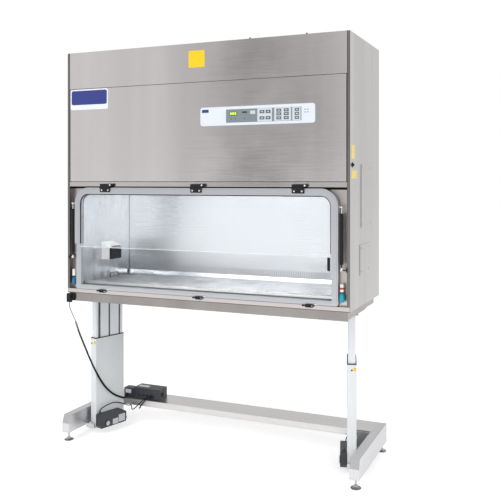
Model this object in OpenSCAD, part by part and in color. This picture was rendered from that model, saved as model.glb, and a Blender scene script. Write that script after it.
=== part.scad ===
/* [Cabinet] */
// Outside width of the cabinet over its side panels
cab_w = 1950; // [1850:10:2050]
// Outside depth of the cabinet
cab_d = 697; // [690:1:740]
// Height of the cabinet body without its stand
cab_h = 1600; // [1560:5:1700]
// Thickness of the stainless sheet
sheet = 2; // [1.5:0.5:2.5]
// Width of the front edge strip on each side panel
edge_w = 18; // [14:1:24]
// Inside half width of the work chamber
chamber_x = 900; // [880:5:905]
// Depth from the front face to the perforated rear wall
chamber_y = 640; // [620:5:645]

/* [Front window] */
// Half width of the hinged window frame
window_x = 908; // [905:1:912]
// Width of the aluminium frame bars
bar_w = 42; // [36:1:46]
// Depth of the aluminium frame bars
bar_d = 28; // [24:1:28]
// Radius of the window's upper outer corners
corner_r = 104; // [80:2:130]
// Height above the cabinet base of the joint between upper and lower frame
split_h = 329; // [300:1:340]
// Half width of the lower frame round the open aperture
lower_x = 904; // [896:1:905]
// Length of glass that hangs below the joint
glass_drop = 20; // [0:1:30]

/* [Stand] */
// Visible length of the inner columns above the outer ones
extension = 297.5; // [280:0.5:320]
// Length of the outer columns
outer_len = 612; // [582:5:612]
// Angle that the flat columns are turned in towards the back
toe_in = 15.9; // [12:0.1:17]
// Height of the foot beams
beam_h = 116; // [100:1:120]
// Width of the foot beams
beam_w = 56; // [50:1:60]
// Gap between the floor and the foot beams
beam_z = 58; // [50:1:66]

/* [Levelling feet] */
// Diameter of the foot pads
pad_d = 62; // [50:1:70]
// Diameter of the threaded spindles
spindle_d = 12; // [10:1:14]

/* [Hidden] */
eps = 0.01;

// Front face of the cabinet in Y, so that the part's centre stands over the origin
front_y = -337.25;
half_w = cab_w / 2;
edge_x = half_w - edge_w;

// Levels above the floor
col_z0 = beam_z - 14;
col_top = col_z0 + outer_len;
cap_h = 5;
frame_z0 = col_top + extension;
frame_h = 53;
cab_z0 = frame_z0 + frame_h;
cab_top = cab_z0 + cab_h;
tray_z = cab_z0 + 62;
tray_foot = tray_z - 8;
sill_z = cab_z0 + 27.5;
split_z = cab_z0 + split_h;
window_top = cab_z0 + 702.5;
trim_z0 = cab_z0 + 710;
trim_z1 = cab_z0 + 740;
panel_z0 = cab_z0 + 743;
fascia_z0 = cab_z0 + 1359;
panel_z1 = fascia_z0 - 3;
ceiling_z = cab_z0 + 712;
deck_z = cab_z0 + 900;
filter_h = 88;
filter_z = deck_z - filter_h;
exhaust_z = cab_top - sheet - filter_h;

// Depths behind the front face, and the jamb's opening
jamb_y = 34;
lip_x = chamber_x - 28;
open_z0 = cab_z0 + 63.5;
open_top = cab_z0 + 654;
open_r = 60;
back_y = cab_d - sheet;

// Stand
beam_in = half_w - 6;
beam_front = 6;
beam_back = 700;
beam_wall = 3;
foot_front = 42;
foot_back = 672;
run = 0.06;
stretcher_front = 505;
stretcher_lip = 43;
col_x = 924.7;
col_y = 218.7;
col_w = 56;
col_d = 255.5;
stage_w = 45;
stage_d = 241;
stage_off = (col_d - stage_d) / 2;
stage_z0 = col_top - 176;
screw_d = 20;
screw_y = col_d / 2;

// Grille and tray in depth
grille_y1 = 152;
tray_y0 = 154;
tray_y1 = chamber_y - 3;

// Window hinge and latch places along X
hinge_xs = [-666, 2, 668.5];
latch_xs = [-675, 34, 751];
frame_y = -13;
hinge_z = window_top - 2.5;
hinge_y = frame_y - 7;

// Gas struts
strut_x = 927;
strut_y = -6;
strut_low = cab_z0 + 238;
strut_high = cab_z0 + 598;
strut_eye = 12;
stud_d = 8;

// Pins that the service panel turns on
panel_pin_y = 4.5;
panel_pin_z = panel_z1 - 4.5;
panel_pin_d = 5;

// Service taps
tap_x = 926;
tap_y = 4;

module at_front() translate([0, front_y, 0]) children();
module pair() { children(); mirror([1, 0, 0]) children(); }
module flip(s) mirror([s < 0 ? 1 : 0, 0, 0]) children();
module block(x0, x1, y0, y1, z0, z1)
    translate([x0, y0, z0]) cube([x1 - x0, y1 - y0, z1 - z0]);
module rod_x(x0, x1, y, z, d, n = 32)
    translate([x0, y, z]) rotate([0, 90, 0]) cylinder(h = x1 - x0, d = d, $fn = n);
module rod_y(x, y0, y1, z, d, n = 32)
    translate([x, y1, z]) rotate([90, 0, 0]) cylinder(h = y1 - y0, d = d, $fn = n);
module rod_z(x, y, z0, z1, d, n = 32)
    translate([x, y, z0]) cylinder(h = z1 - z0, d = d, $fn = n);
// A plate across X whose outline is given in Y and Z
module side_plate(x0, x1, pts)
    translate([x0, 0, 0]) rotate([90, 0, 90]) linear_extrude(x1 - x0) polygon(pts);
// A plate across Y whose outline is given in X and Z
module front_plate(y0, y1)
    translate([0, y1, 0]) rotate([90, 0, 0]) linear_extrude(y1 - y0) children();
// The frame of the right column: X is its thickness, Y runs back along it
module in_column() translate([col_x, front_y + col_y, 0]) rotate([0, 0, toe_in]) children();

// ---------------------------------------------------------------- stand
module foot_beam() {
    chamfer_y = 20.5;
    chamfer_z = 54;
    top = beam_z + beam_h;
    w = beam_wall;
    slope = w * 0.7;
    plate = 6;
    toe = tan(toe_in);
    inner = col_x - col_w / 2 * cos(toe_in);
    inner_y = col_y - col_w / 2 * sin(toe_in);
    shelf_front = 196;
    shelf_back = 486;
    at_front() {
        difference() {
            side_plate(beam_in, beam_in + beam_w, [[beam_front, beam_z], [beam_front, top - chamfer_z],
                [beam_front + chamfer_y, top], [beam_back, top], [beam_back, beam_z]]);
            side_plate(beam_in + w, beam_in + beam_w - w, [[beam_front + w, beam_z - 1],
                [beam_front + w, top - chamfer_z - w / 2], [beam_front + chamfer_y + slope, top - w],
                [beam_back - w, top - w], [beam_back - w, beam_z - 1]]);
        }
        for (y = [foot_front, foot_back])
            difference() {
                block(beam_in + w - eps, beam_in + beam_w - w + eps,
                    max(y - 32, beam_front + w - eps), min(y + 32, beam_back - w + eps),
                    beam_z + 4, beam_z + 14);
                rod_z(beam_in + beam_w / 2, y, beam_z, beam_z + 20, spindle_d + 2 * run, 48);
            }
        // welded carrier for the column: a shelf between two upright plates
        translate([0, 0, col_z0 - plate]) linear_extrude(plate) polygon([
            [beam_in + eps, shelf_front], [inner - (shelf_front - inner_y) * toe, shelf_front],
            [inner - (shelf_back - inner_y) * toe, shelf_back], [beam_in + eps, shelf_back]]);
        block(inner - (shelf_front - inner_y) * toe, beam_in + eps, shelf_front, shelf_front + plate,
            col_z0 - eps, beam_z + 12);
        block(col_x - col_d * sin(toe_in) + 30, beam_in + eps, shelf_back - plate, shelf_back,
            col_z0 - eps, top);
    }
}
module foot_beam_left() color([0.76, 0.75, 0.73]) flip(-1) foot_beam();
module foot_beam_right() color([0.76, 0.75, 0.73]) foot_beam();

// A folded channel across the back, open below
module stretcher() color([0.76, 0.75, 0.73]) at_front() {
    top = beam_z + beam_h;
    w = beam_wall;
    difference() {
        block(-beam_in, beam_in, stretcher_front, beam_back, top - stretcher_lip, top);
        block(-beam_in + w, beam_in - w, stretcher_front + w, beam_back - w, top - stretcher_lip - 1, top - w);
    }
}

module levelling_foot(x, y) color([0.5, 0.5, 0.52]) at_front() {
    rod_z(x, y, 14, beam_z + 60, spindle_d, 48);
    translate([x, y, 0]) rotate_extrude($fn = 64) polygon([[0, 0], [pad_d / 2 - 2, 0], [pad_d / 2, 2],
        [pad_d / 2, 5], [pad_d / 2 - 4, 8], [13, 12], [11, 20], [0, 20]]);
    translate([x, y, beam_z - 15]) cylinder(h = 10, d = 21, $fn = 6);
}
foot_x = beam_in + beam_w / 2;
module levelling_foot_front_left() levelling_foot(-foot_x, foot_front);
module levelling_foot_front_right() levelling_foot(foot_x, foot_front);
module levelling_foot_rear_left() levelling_foot(-foot_x, foot_back);
module levelling_foot_rear_right() levelling_foot(foot_x, foot_back);

module rounded_rect(x0, x1, y0, y1, r)
    polygon(concat(
        [for (a = [180:15:270]) [x0 + r + r * cos(a), y0 + r + r * sin(a)]],
        [for (a = [270:15:360]) [x1 - r + r * cos(a), y0 + r + r * sin(a)]],
        [for (a = [0:15:90]) [x1 - r + r * cos(a), y1 - r + r * sin(a)]],
        [for (a = [90:15:180]) [x0 + r + r * cos(a), y1 - r + r * sin(a)]]));

// Outer stage: a flat tube that stands on the beam's shelf
module outer_column() in_column() {
    wall = 3.6;
    translate([0, 0, col_z0]) linear_extrude(outer_len) difference() {
        rounded_rect(-col_w / 2, col_w / 2, 0, col_d, 6);
        rounded_rect(-col_w / 2 + wall, col_w / 2 - wall, wall, col_d - wall, 3);
    }
}
module outer_columns() color([0.87, 0.88, 0.88]) pair() outer_column();

// Inner stage: an extrusion with three slots down each wide face, its nut plate below and head plate above
groove_ws = [20, 15, 15];
groove_d = 9;
groove_fs = [0.12, 0.49, 0.87];
module stage_outline(gap) difference() {
    rounded_rect(-stage_w / 2 - gap, stage_w / 2 + gap, stage_off - gap, stage_off + stage_d + gap, 5);
    if (gap == 0) for (k = [0:2], s = [-1, 1])
        translate([s * stage_w / 2, stage_off + groove_fs[k] * stage_d])
            square([2 * groove_d, groove_ws[k]], center = true);
}
module inner_column() in_column() {
    wall = 3.2;
    head = 6;
    nut_h = 30;
    difference() {
        translate([0, 0, stage_z0]) linear_extrude(frame_z0 - head - stage_z0) stage_outline(0);
        for (k = [0, 1]) {
            y0 = stage_off + groove_fs[k] * stage_d + groove_ws[k] / 2 + wall;
            y1 = stage_off + groove_fs[k + 1] * stage_d - groove_ws[k + 1] / 2 - wall;
            translate([0, 0, stage_z0 + nut_h]) linear_extrude(frame_z0 - head - stage_z0 - nut_h - 4)
                rounded_rect(-stage_w / 2 + wall, stage_w / 2 - wall, y0, y1, 2);
        }
        rod_z(0, screw_y, stage_z0 - 1, frame_z0 - head - 4, screw_d + 2 * run, 48);
    }
    translate([0, 0, frame_z0 - head]) linear_extrude(head)
        rounded_rect(-38, 38, -8, col_d + 8, 6);
}
module inner_columns() color([0.9, 0.91, 0.91]) pair() inner_column();

module column_caps() color([0.08, 0.08, 0.09]) pair() in_column()
    translate([0, 0, col_top]) linear_extrude(cap_h) difference() {
        rounded_rect(-col_w / 2 - 1, col_w / 2 + 1, -1, col_d + 1, 7);
        stage_outline(0.5);
    }

// Motor and gear housing on the inward face of each column
motor_d = 42;
motor_len = 240;
motor_z0 = 36;
motor_z1 = 134;
module motor_housings() color([0.1, 0.1, 0.11]) pair() in_column() {
    face_y = 72;
    face_z = motor_z0 + 26;
    difference() {
        union() {
            side_plate(-col_w / 2 - motor_d, -col_w / 2, [[0, motor_z0 + 18], [0, motor_z1 - 6],
                [6, motor_z1], [192, motor_z1], [motor_len, motor_z1 - 26], [motor_len, motor_z0 + 8],
                [motor_len - 8, motor_z0], [16, motor_z0]]);
            rod_x(-col_w / 2 - motor_d - 4, -col_w / 2 - motor_d + eps, face_y, face_z, 46, 48);
        }
        rod_x(-col_w / 2 - motor_d - 5, -col_w / 2 - motor_d - 1, face_y, face_z, 36, 48);
    }
    // cable glands, and the threaded lift spindle on its bearing inside the column
    rod_y(-col_w / 2 - 20, motor_len - eps, motor_len + 16, 56, 18, 32);
    rod_z(-col_w / 2 - 20, 20, motor_z1 - eps, motor_z1 + 16, 16, 32);
    rod_z(0, screw_y, col_z0, col_top - 20, screw_d, 48);
    rod_z(0, screw_y, col_z0, col_z0 + 24, 40, 48);
}

// Control box on the stretcher, behind the left column
box_z = beam_z + beam_h;
box_x0 = -790;
box_x1 = -577;
box_y0 = 532;
box_y1 = 637;
box_h = 76;
module control_box() color([0.09, 0.09, 0.1]) at_front() {
    difference() {
        block(box_x0, box_x1, box_y0, box_y1, box_z, box_z + box_h);
        for (x = [box_x0 + 40:32:box_x0 + 150])
            block(x, x + 20, box_y0 - 1, box_y0 + 8, box_z + 20, box_z + 34);
    }
    block(box_x0 - 2, box_x1 + 2, box_y0 - 2, box_y1 + 2, box_z + box_h, box_z + box_h + 2);
    block(box_x0 - 84, box_x0 - 2, box_y0, box_y0 + 62, box_z, box_z + box_h - 8);
    rod_x(box_x1, box_x1 + 10, box_y0 + 46, box_z + 36, 26);
}

// ---------------------------------------------------------------- cords
function lerp(a, b, t) = a + (b - a) * t;
// Catmull-Rom curve through a list of points, n steps a span
function curve(p, n) = let (m = len(p) - 1) concat([for (i = [0:m - 1], j = [0:n - 1])
    let (a = p[max(i - 1, 0)], b = p[i], c = p[i + 1], d = p[min(i + 2, m)], t = j / n)
    0.5 * ((2 * b) + (c - a) * t + (2 * a - 5 * b + 4 * c - d) * t * t
        + (3 * b - a - 3 * c + d) * t * t * t)], [p[m]]);
function unit(v) = v / norm(v);
// One frame of reference a ring: the last ring's side vector turned square to the new direction
function sides(t, i = 0, s = undef, acc = []) = i == len(t) ? acc :
    let (seed = abs(t[0].z) < 0.9 ? [0, 0, 1] : [1, 0, 0],
        raw = i == 0 ? seed : s, side = unit(raw - (raw * t[i]) * t[i]))
    sides(t, i + 1, side, concat(acc, [side]));
module tube(path, d, n) {
    m = len(path) - 1;
    t = [for (i = [0:m]) unit(path[min(i + 1, m)] - path[max(i - 1, 0)])];
    u = sides(t);
    pts = [for (i = [0:m], k = [0:n - 1]) let (a = 360 * k / n)
        path[i] + d / 2 * (u[i] * cos(a) + cross(t[i], u[i]) * sin(a))];
    walls = [for (i = [0:m - 1], k = [0:n - 1]) let (k2 = (k + 1) % n)
        [i * n + k, (i + 1) * n + k, (i + 1) * n + k2, i * n + k2]];
    polyhedron(points = pts, faces = concat(walls, [[for (k = [0:n - 1]) k]],
        [[for (k = [n - 1:-1:0]) m * n + k]]), convexity = 6);
}

// Routes in the front frame: X, depth behind the front face, height
handset_lead = [[-948, -18, 944], [-948, -18, 934], [-948, -18, 922], [-941, -12, 890], [-930, 0, 850],
    [-922, 12, 818]];
handset_coil = [[-922, 12, 818], [-915, 40, 740], [-908, 90, 640], [-900, 150, 525], [-888, 205, 425],
    [-868, 276, 316], [-846, 350, 244], [-822, 430, 200], [-818, 480, 196], [-838, 508, 200], [-846, 532, 204]];
motor_lead_left = [[-873, 225, 150], [-872, 228, 160], [-862, 262, 178], [-838, 345, 186],
    [-817, 410, 166], [-794, 452, 142], [-776, 472, 138], [-776, 482, 106], [-752, 490, 120],
    [-704, 494, 168], [-662, 506, 194], [-657, 522, 192], [-657, 532, 192]];
motor_lead_right = [[804, 467, 56], [799, 484, 58], [806, 494, 84], [814, 495, 116], [830, 495, 142],
    [862, 495, 152], [904, 495, 150], [930, 495, 136], [908, 495, 98], [890, 495, 78], [882, 500, 70],
    [868, 530, 96], [856, 556, 140], [854, 560, 171]];
box_lead = [[-740, 560, 171], [-740, 556, 140], [-736, 530, 112], [-724, 498, 118], [-690, 494, 164],
    [-644, 504, 198], [-632, 520, 193], [-632, 532, 193]];
module handset_cord() color([0.05, 0.05, 0.05]) at_front() {
    tube(curve(handset_lead, 2), 5, 8);
    tube(curve(handset_coil, 3), 12.5, 8);
}
module motor_cables() color([0.05, 0.05, 0.05]) at_front() {
    for (p = [motor_lead_left, motor_lead_right, box_lead]) tube(curve(p, 2), 7, 8);
}

// ---------------------------------------------------------------- cabinet
module support_frame() color([0.72, 0.71, 0.69]) at_front() {
    w = 3;
    rail_x = half_w - 13;
    rail_w = 40;
    drop = 8.5;
    step_y = 420;
    step = 7;
    end_y = 606;
    // front apron, folded back below
    block(-rail_x, rail_x, 1, 1 + w, frame_z0, cab_z0);
    block(-rail_x + rail_w, rail_x - rail_w, 1 + w, 46, frame_z0, frame_z0 + w);
    pair() {
        difference() {
            side_plate(rail_x - rail_w, rail_x, [[1 + w, frame_z0 + drop], [1 + w, cab_z0], [end_y, cab_z0],
                [end_y, frame_z0 + drop + step], [step_y, frame_z0 + drop + step], [step_y - 20, frame_z0 + drop]]);
            block(rail_x - rail_w - 1, rail_x - w, 1 + 2 * w, end_y - w, frame_z0, cab_z0 - w);
        }
    }
    // cross rails that the column heads bolt to, and the rear rail
    for (y = [170, 430])
        difference() {
            block(-rail_x + rail_w, rail_x - rail_w, y, y + 60, frame_z0, cab_z0);
            block(-rail_x + rail_w + 4, rail_x - rail_w - 4, y + w, y + 60 - w, frame_z0 + w, cab_z0 - w);
        }
    block(-rail_x + rail_w, rail_x - rail_w, end_y - w, end_y, frame_z0 + drop + step, cab_z0);
}

// Bottom sheet with the sill strip, the lower jamb, and the ribs that the grille and tray lie on
module base_pan() color([0.74, 0.73, 0.71]) at_front() {
    s = sheet;
    side = half_w - s;
    rib_x = chamber_x - 4;
    block(-side, side, s, back_y, cab_z0, cab_z0 + s);
    block(-side, side, 0, s, cab_z0, sill_z);
    block(-edge_x, edge_x, s, jamb_y, sill_z - s, sill_z);
    block(-edge_x, edge_x, jamb_y - s, jamb_y, sill_z, tray_foot);
    block(-chamber_x, chamber_x, chamber_y, chamber_y + s, cab_z0 + s, tray_foot);
    for (y = [jamb_y + s, 300, 480, tray_y1 - s]) block(-rib_x, rib_x, y, y + s, cab_z0 + s, tray_foot);
    block(-rib_x, rib_x, grille_y1 - s, tray_y0 + s, cab_z0 + s, tray_foot);
}

// Outer side sheet: front strip folded in, then a return along the strut recess, and a rear fold
module side_panel() at_front() {
    s = sheet;
    w = 3;
    block(half_w - s, half_w, 0, back_y, cab_z0, cab_top);
    block(edge_x, half_w - s, 0, s, sill_z, cab_top);
    block(edge_x, edge_x + s, s, jamb_y + s, sill_z, trim_z1 + 2);
    block(half_w - s - 24, half_w - s, back_y - s, back_y, cab_z0 + s, cab_top - s);
    // lug with the gas strut's stud, and the ear with the service panel's pin
    side_plate(edge_x - w, edge_x + eps, [[s + 12, strut_low - 18], [strut_y - 8, strut_low - 8],
        [strut_y - 8, strut_low + 8], [s + 12, strut_low + 18]]);
    rod_x(strut_x - strut_eye / 2 - 2, edge_x - w + eps, strut_y, strut_low, stud_d, 48);
    block(edge_x, edge_x + w, s - eps, 16, panel_pin_z - 8, panel_pin_z + 8);
    rod_x(edge_x - 14, edge_x + eps, panel_pin_y, panel_pin_z, panel_pin_d, 48);
}
module side_panel_left() color([0.8, 0.8, 0.79]) flip(-1) side_panel();
module side_panel_right() color([0.8, 0.8, 0.79]) side_panel();

module domed_screw_x(x, y, z, d) translate([x, y, z]) rotate([0, 90, 0])
    rotate_extrude($fn = 24) polygon([[0, 0], [d / 2, 0], [d / 2 * 0.8, d * 0.22], [d * 0.2, d * 0.32], [0, d * 0.32]]);
// Raised cover plates on the right side panel with their screws
module side_cover(y0, y1, z0, z1, inset_y, inset_z) {
    t = 3;
    difference() {
        block(half_w, half_w + t, y0, y1, z0, z1);
        block(half_w - 1, half_w + t - 1.2, y0 + 2, y1 - 2, z0 + 2, z1 - 2);
    }
    for (y = [y0 + inset_y, y1 - inset_y], z = [z0 + inset_z, z1 - inset_z])
        domed_screw_x(half_w + t, y, z, 12);
}
module side_covers() color([0.79, 0.79, 0.78]) at_front() {
    side_cover(240, 480, cab_z0 + 468, cab_z0 + 846, 22, 20);
    side_cover(212, 452, cab_z0 + 184, cab_z0 + 366, 38, 22);
}

module back_panel() color([0.74, 0.73, 0.71]) at_front() {
    s = sheet;
    difference() {
        block(-half_w, half_w, back_y, back_y + s, cab_z0, cab_top);
        for (x = [-820, 820]) block(x - 24, x + 24, back_y - 1, back_y + 3, cab_z0 + 1300, cab_z0 + 1330);
    }
    // power inlet and service port plate
    for (x = [-820, 820]) difference() {
        block(x - 22, x + 22, back_y - 20, back_y + s + 1, cab_z0 + 1302, cab_z0 + 1328);
        block(x - 13, x + 13, back_y - 12, back_y + s + 2, cab_z0 + 1307, cab_z0 + 1323);
    }
    for (z = [cab_z0 + 400, cab_z0 + 1000])
        block(-half_w + 60, half_w - 60, back_y - 12, back_y, z, z + 30);
}

// Roof with the round exhaust opening, its collar and two small lifting studs
exhaust_x = 0;
exhaust_y = 360;
exhaust_r = 150;
module roof_panel() color([0.76, 0.75, 0.73]) at_front() {
    s = sheet;
    difference() {
        block(-half_w + s, half_w - s, s, back_y, cab_top - s, cab_top);
        rod_z(exhaust_x, exhaust_y, cab_top - 5, cab_top + 5, 2 * exhaust_r, 96);
    }
    translate([exhaust_x, exhaust_y, cab_top - s]) rotate_extrude($fn = 96)
        polygon([[exhaust_r, 0], [exhaust_r + 3, 0], [exhaust_r + 3, s], [exhaust_r + 26, s],
            [exhaust_r + 26, s + 3], [exhaust_r + 3, s + 3], [exhaust_r + 3, s + 30], [exhaust_r, s + 30]]);
    for (a = [0:30:150]) translate([exhaust_x, exhaust_y, cab_top + 4]) rotate([0, 0, a])
        block(-exhaust_r - eps, exhaust_r + eps, -1.2, 1.2, -1.2, 1.2);
    for (x = [352, 712]) rod_z(x, 14, cab_top, cab_top + 8, 12, 24);
}

module upper_fascia() color([0.7, 0.68, 0.66]) at_front() {
    s = sheet;
    block(-edge_x + 0.4, edge_x - 0.4, 0, s, fascia_z0, cab_top);
    block(-edge_x + 0.4, edge_x - 0.4, s, 22, fascia_z0, fascia_z0 + s);
    block(-edge_x + 0.4, edge_x - 0.4, s, 22, cab_top - 2 * s, cab_top - s);
}

// Rail between service panel and window: carries the hinges
module trim_rail() color([0.74, 0.72, 0.7]) at_front() {
    s = sheet;
    block(-edge_x + 0.4, edge_x - 0.4, 0, s, trim_z0, trim_z1);
    block(-edge_x + 0.4, edge_x - 0.4, s, jamb_y + s, trim_z0, trim_z0 + s);
    block(-edge_x + 0.4, edge_x - 0.4, s, jamb_y + s, trim_z1 - s, trim_z1);
}

// Plate round the opening that the window closes against
module jamb_plate() color([0.78, 0.78, 0.78]) at_front() difference() {
    block(-edge_x, edge_x, jamb_y, jamb_y + sheet, tray_foot, trim_z0);
    front_plate(jamb_y - 1, jamb_y + sheet + 1) window_outline(lip_x, open_z0, open_top, open_r);
}

// Inner side walls, and the webs that close the space behind them
deck_back = back_y - 14;
module chamber_walls() color([0.78, 0.78, 0.78]) at_front() pair() {
    s = sheet;
    block(chamber_x, chamber_x + s, jamb_y + s, deck_back, cab_z0 + s, deck_z);
    block(chamber_x + s - eps, half_w - s, chamber_y, chamber_y + s, cab_z0 + s, deck_z);
}

// Deck under the fan with two ports, and the lamp trough over the front of the chamber
module filter_deck() color([0.78, 0.78, 0.78]) at_front() {
    s = sheet;
    trough_y = 150;
    trough_z = ceiling_z + 70;
    difference() {
        block(-half_w + s, half_w - s, 62, deck_back, deck_z, deck_z + s);
        pair() block(90, fan_x - 20, fan_y - 100, fan_y + 100, deck_z - 1, deck_z + s + 1);
    }
    block(-chamber_x, chamber_x, jamb_y + s, trough_y, trough_z, trough_z + s);
    block(-chamber_x, chamber_x, trough_y, trough_y + s, ceiling_z - 4, deck_z + eps);
}

// Outline of an opening with round upper corners, given by half width, levels and radius
module window_outline(hx, z0, z1, r) polygon(concat([[-hx, z0], [hx, z0]],
    [for (a = [0:7.5:90]) [hx - r + r * cos(a), z1 - r + r * sin(a)]],
    [for (a = [90:7.5:180]) [-hx + r + r * cos(a), z1 - r + r * sin(a)]]));

// One row of narrow slots across the chamber
slot_n = 110;
slot_w = 5.5;
module slots(y0, y1, z0, z1) {
    margin = 36;
    pitch = 2 * (chamber_x - margin) / (slot_n - 1);
    for (i = [0:slot_n - 1]) translate([-chamber_x + margin + i * pitch, 0, 0])
        block(-slot_w / 2, slot_w / 2, y0, y1, z0, z1);
}
// Rear wall of the chamber with a row of upright slots near the tray
module rear_baffle() color([0.8, 0.8, 0.8]) at_front() {
    s = sheet;
    difference() {
        block(-chamber_x, chamber_x, chamber_y, chamber_y + s, tray_foot, deck_z);
        slots(chamber_y - 1, chamber_y + s + 1, tray_z + 10, tray_z + 72);
    }
}

// Slotted air intake behind the sill: a folded sheet that slopes down towards the tray
module front_grille() color([0.8, 0.8, 0.8]) at_front() {
    s = sheet;
    x1 = chamber_x - 2;
    y0 = jamb_y + s;
    front_z = tray_z + 16.5;
    back_z = tray_z + 4.5;
    difference() {
        side_plate(-x1, x1, [[y0, tray_foot], [y0, front_z], [grille_y1, back_z], [grille_y1, tray_foot],
            [grille_y1 - s, tray_foot], [grille_y1 - s, back_z - s], [y0 + s, front_z - s], [y0 + s, tray_foot]]);
        slots(y0 + 20, grille_y1 - 16, back_z - s, front_z + 1);
    }
}

// Lift-out work surface: a flat sheet with its edges folded down and two stiffening hats below
module work_tray() color([0.82, 0.82, 0.82]) at_front() {
    s = sheet;
    x1 = chamber_x - 3;
    difference() {
        block(-x1, x1, tray_y0, tray_y1, tray_foot, tray_z);
        block(-x1 + s, x1 - s, tray_y0 + s, tray_y1 - s, tray_foot - 1, tray_z - s);
    }
    for (y = [285, 465]) block(-x1 + 40, x1 - 40, y, y + 34, tray_foot, tray_z - s + eps);
}
// Bent rod handles at both ends of the tray
module tray_handles() color([0.82, 0.82, 0.82]) at_front() pair()
    translate([chamber_x - 38, 0, 0]) handle(330, 438, tray_z, tray_z + 38, 8, 14);
// A bent rod: two posts, two elbows and a bar along Y
module handle(y0, y1, z0, z1, d, bend) {
    top = z1 - d / 2;
    a = y0 + d / 2;
    b = y1 - d / 2;
    for (y = [a, b]) rod_z(0, y, z0, top - bend, d, 24);
    rod_y(0, a + bend, b - bend, top, d, 24);
    for (p = [[a + bend, 90], [b - bend, 0]])
        translate([0, p[0], top - bend]) rotate([90, 0, 90]) rotate([0, 0, p[1]])
            rotate_extrude(angle = 90, $fn = 48) translate([bend, 0]) circle(d = d, $fn = 24);
}

// Perforated sheet that spreads the down flow
module diffuser() color([0.85, 0.85, 0.85]) at_front() {
    nx = 30;
    ny = 8;
    y0 = 156;
    px = (2 * chamber_x - 40) / nx;
    py = (chamber_y - y0 - 20) / ny;
    difference() {
        block(-chamber_x + 1, chamber_x - 1, y0, chamber_y - 1, ceiling_z, ceiling_z + 2);
        for (i = [0:nx - 1], j = [0:ny - 1])
            block(-chamber_x + 20 + (i + 0.2) * px, -chamber_x + 20 + (i + 0.8) * px,
                y0 + 10 + (j + 0.25) * py, y0 + 10 + (j + 0.75) * py, ceiling_z - 1, ceiling_z + 3);
    }
    for (x = [-chamber_x + 1, chamber_x - 13])
        block(x, x + 12, y0, chamber_y - 1, ceiling_z + 2, ceiling_z + 20);
}

// A framed pleated filter: frame with a zig-zag pack of medium
module filter(x0, x1, y0, y1, z0, z1, folds) {
    w = 18;
    difference() {
        block(x0, x1, y0, y1, z0, z1);
        block(x0 + w, x1 - w, y0 + w, y1 - w, z0 - 1, z1 + 1);
    }
    p = (x1 - x0 - 2 * w) / folds;
    translate([0, y1 - w + eps, 0]) rotate([90, 0, 0]) linear_extrude(y1 - y0 - 2 * w + 2 * eps)
        polygon(concat(
            [for (i = [0:folds]) [x0 + w + i * p, (i % 2 == 0) ? z0 + 8 : z1 - 12]],
            [for (i = [folds:-1:0]) [x0 + w + i * p, (i % 2 == 0) ? z0 + 12 : z1 - 8]]));
}
// The wide one spreads the down flow, and the square one cleans the exhaust
module filters() color([0.93, 0.93, 0.9]) at_front() {
    filter(-chamber_x + 6, chamber_x - 6, 158, 636, filter_z, deck_z, 60);
    filter(-300, 300, 120, 600, exhaust_z, exhaust_z + filter_h, 24);
}

// Double scroll casing with a round inlet at each end and an outlet port below
fan_x = 300;
fan_y = 375;
fan_z = cab_z0 + 1160;
fan_r = 150;
fan_shaft_d = 16;
module scroll(r) polygon([for (a = [0:10:350]) let (g = r * (1 + 0.34 * a / 360)) [g * cos(a - 90), g * sin(a - 90)]]);
module fan_housing() color([0.7, 0.7, 0.7]) at_front() {
    r = fan_r + 20;
    duct = 120;
    difference() {
        union() {
            translate([-fan_x, fan_y, fan_z]) rotate([90, 0, 90]) linear_extrude(2 * fan_x) scroll(r);
            block(-fan_x, fan_x, fan_y - duct, fan_y + duct, deck_z + sheet, fan_z);
        }
        translate([-fan_x + 2, fan_y, fan_z]) rotate([90, 0, 90]) linear_extrude(2 * fan_x - 4) scroll(r - 2);
        block(-fan_x + 2, fan_x - 2, fan_y - duct + 2, fan_y + duct - 2, deck_z + 1, fan_z);
        rod_x(-fan_x - 1, fan_x + 1, fan_y, fan_z, 2 * fan_r - 60, 96);
    }
    // motor on its foot, its shaft, and the two bearing stands
    rod_x(-110, 110, fan_y, fan_z, 110, 64);
    block(-60, 60, fan_y - 40, fan_y + 40, deck_z + sheet, fan_z - 40);
    rod_x(-fan_x - 30, fan_x + 30, fan_y, fan_z, fan_shaft_d, 48);
    for (x = [-fan_x - 30, fan_x + 18]) {
        block(x, x + 12, fan_y - 20, fan_y + 20, deck_z + sheet, fan_z + 20);
        block(x - 14, x + 26, fan_y - 50, fan_y + 50, deck_z + sheet, deck_z + 8);
    }
}

// Two squirrel-cage wheels on one shaft: end rings, a middle disc with its hub, and curved-in blades
module fan_impeller() color([0.6, 0.6, 0.62]) at_front() {
    n = 28;
    wheel = 130;
    rim = fan_r - 10;
    eye = rim - 32;
    mid_z = wheel / 2;
    for (x = [-260, 130]) translate([x, fan_y, fan_z]) rotate([90, 0, 90]) {
        for (z = [0, wheel - 4]) translate([0, 0, z]) linear_extrude(4) difference() {
            circle(r = rim, $fn = 64);
            circle(r = eye, $fn = 64);
        }
        difference() {
            union() {
                translate([0, 0, mid_z - 2]) cylinder(h = 4, r = rim, $fn = 64);
                translate([0, 0, mid_z - 20]) cylinder(h = 40, r = 24, $fn = 48);
            }
            translate([0, 0, mid_z - 21]) cylinder(h = 42, r = fan_shaft_d / 2 + run, $fn = 64);
        }
        for (i = [0:n - 1]) rotate([0, 0, i * 360 / n]) translate([eye + 5, 0, 2])
            rotate([0, 0, 35]) cube([23, 2, wheel - 4]);
    }
}

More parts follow.
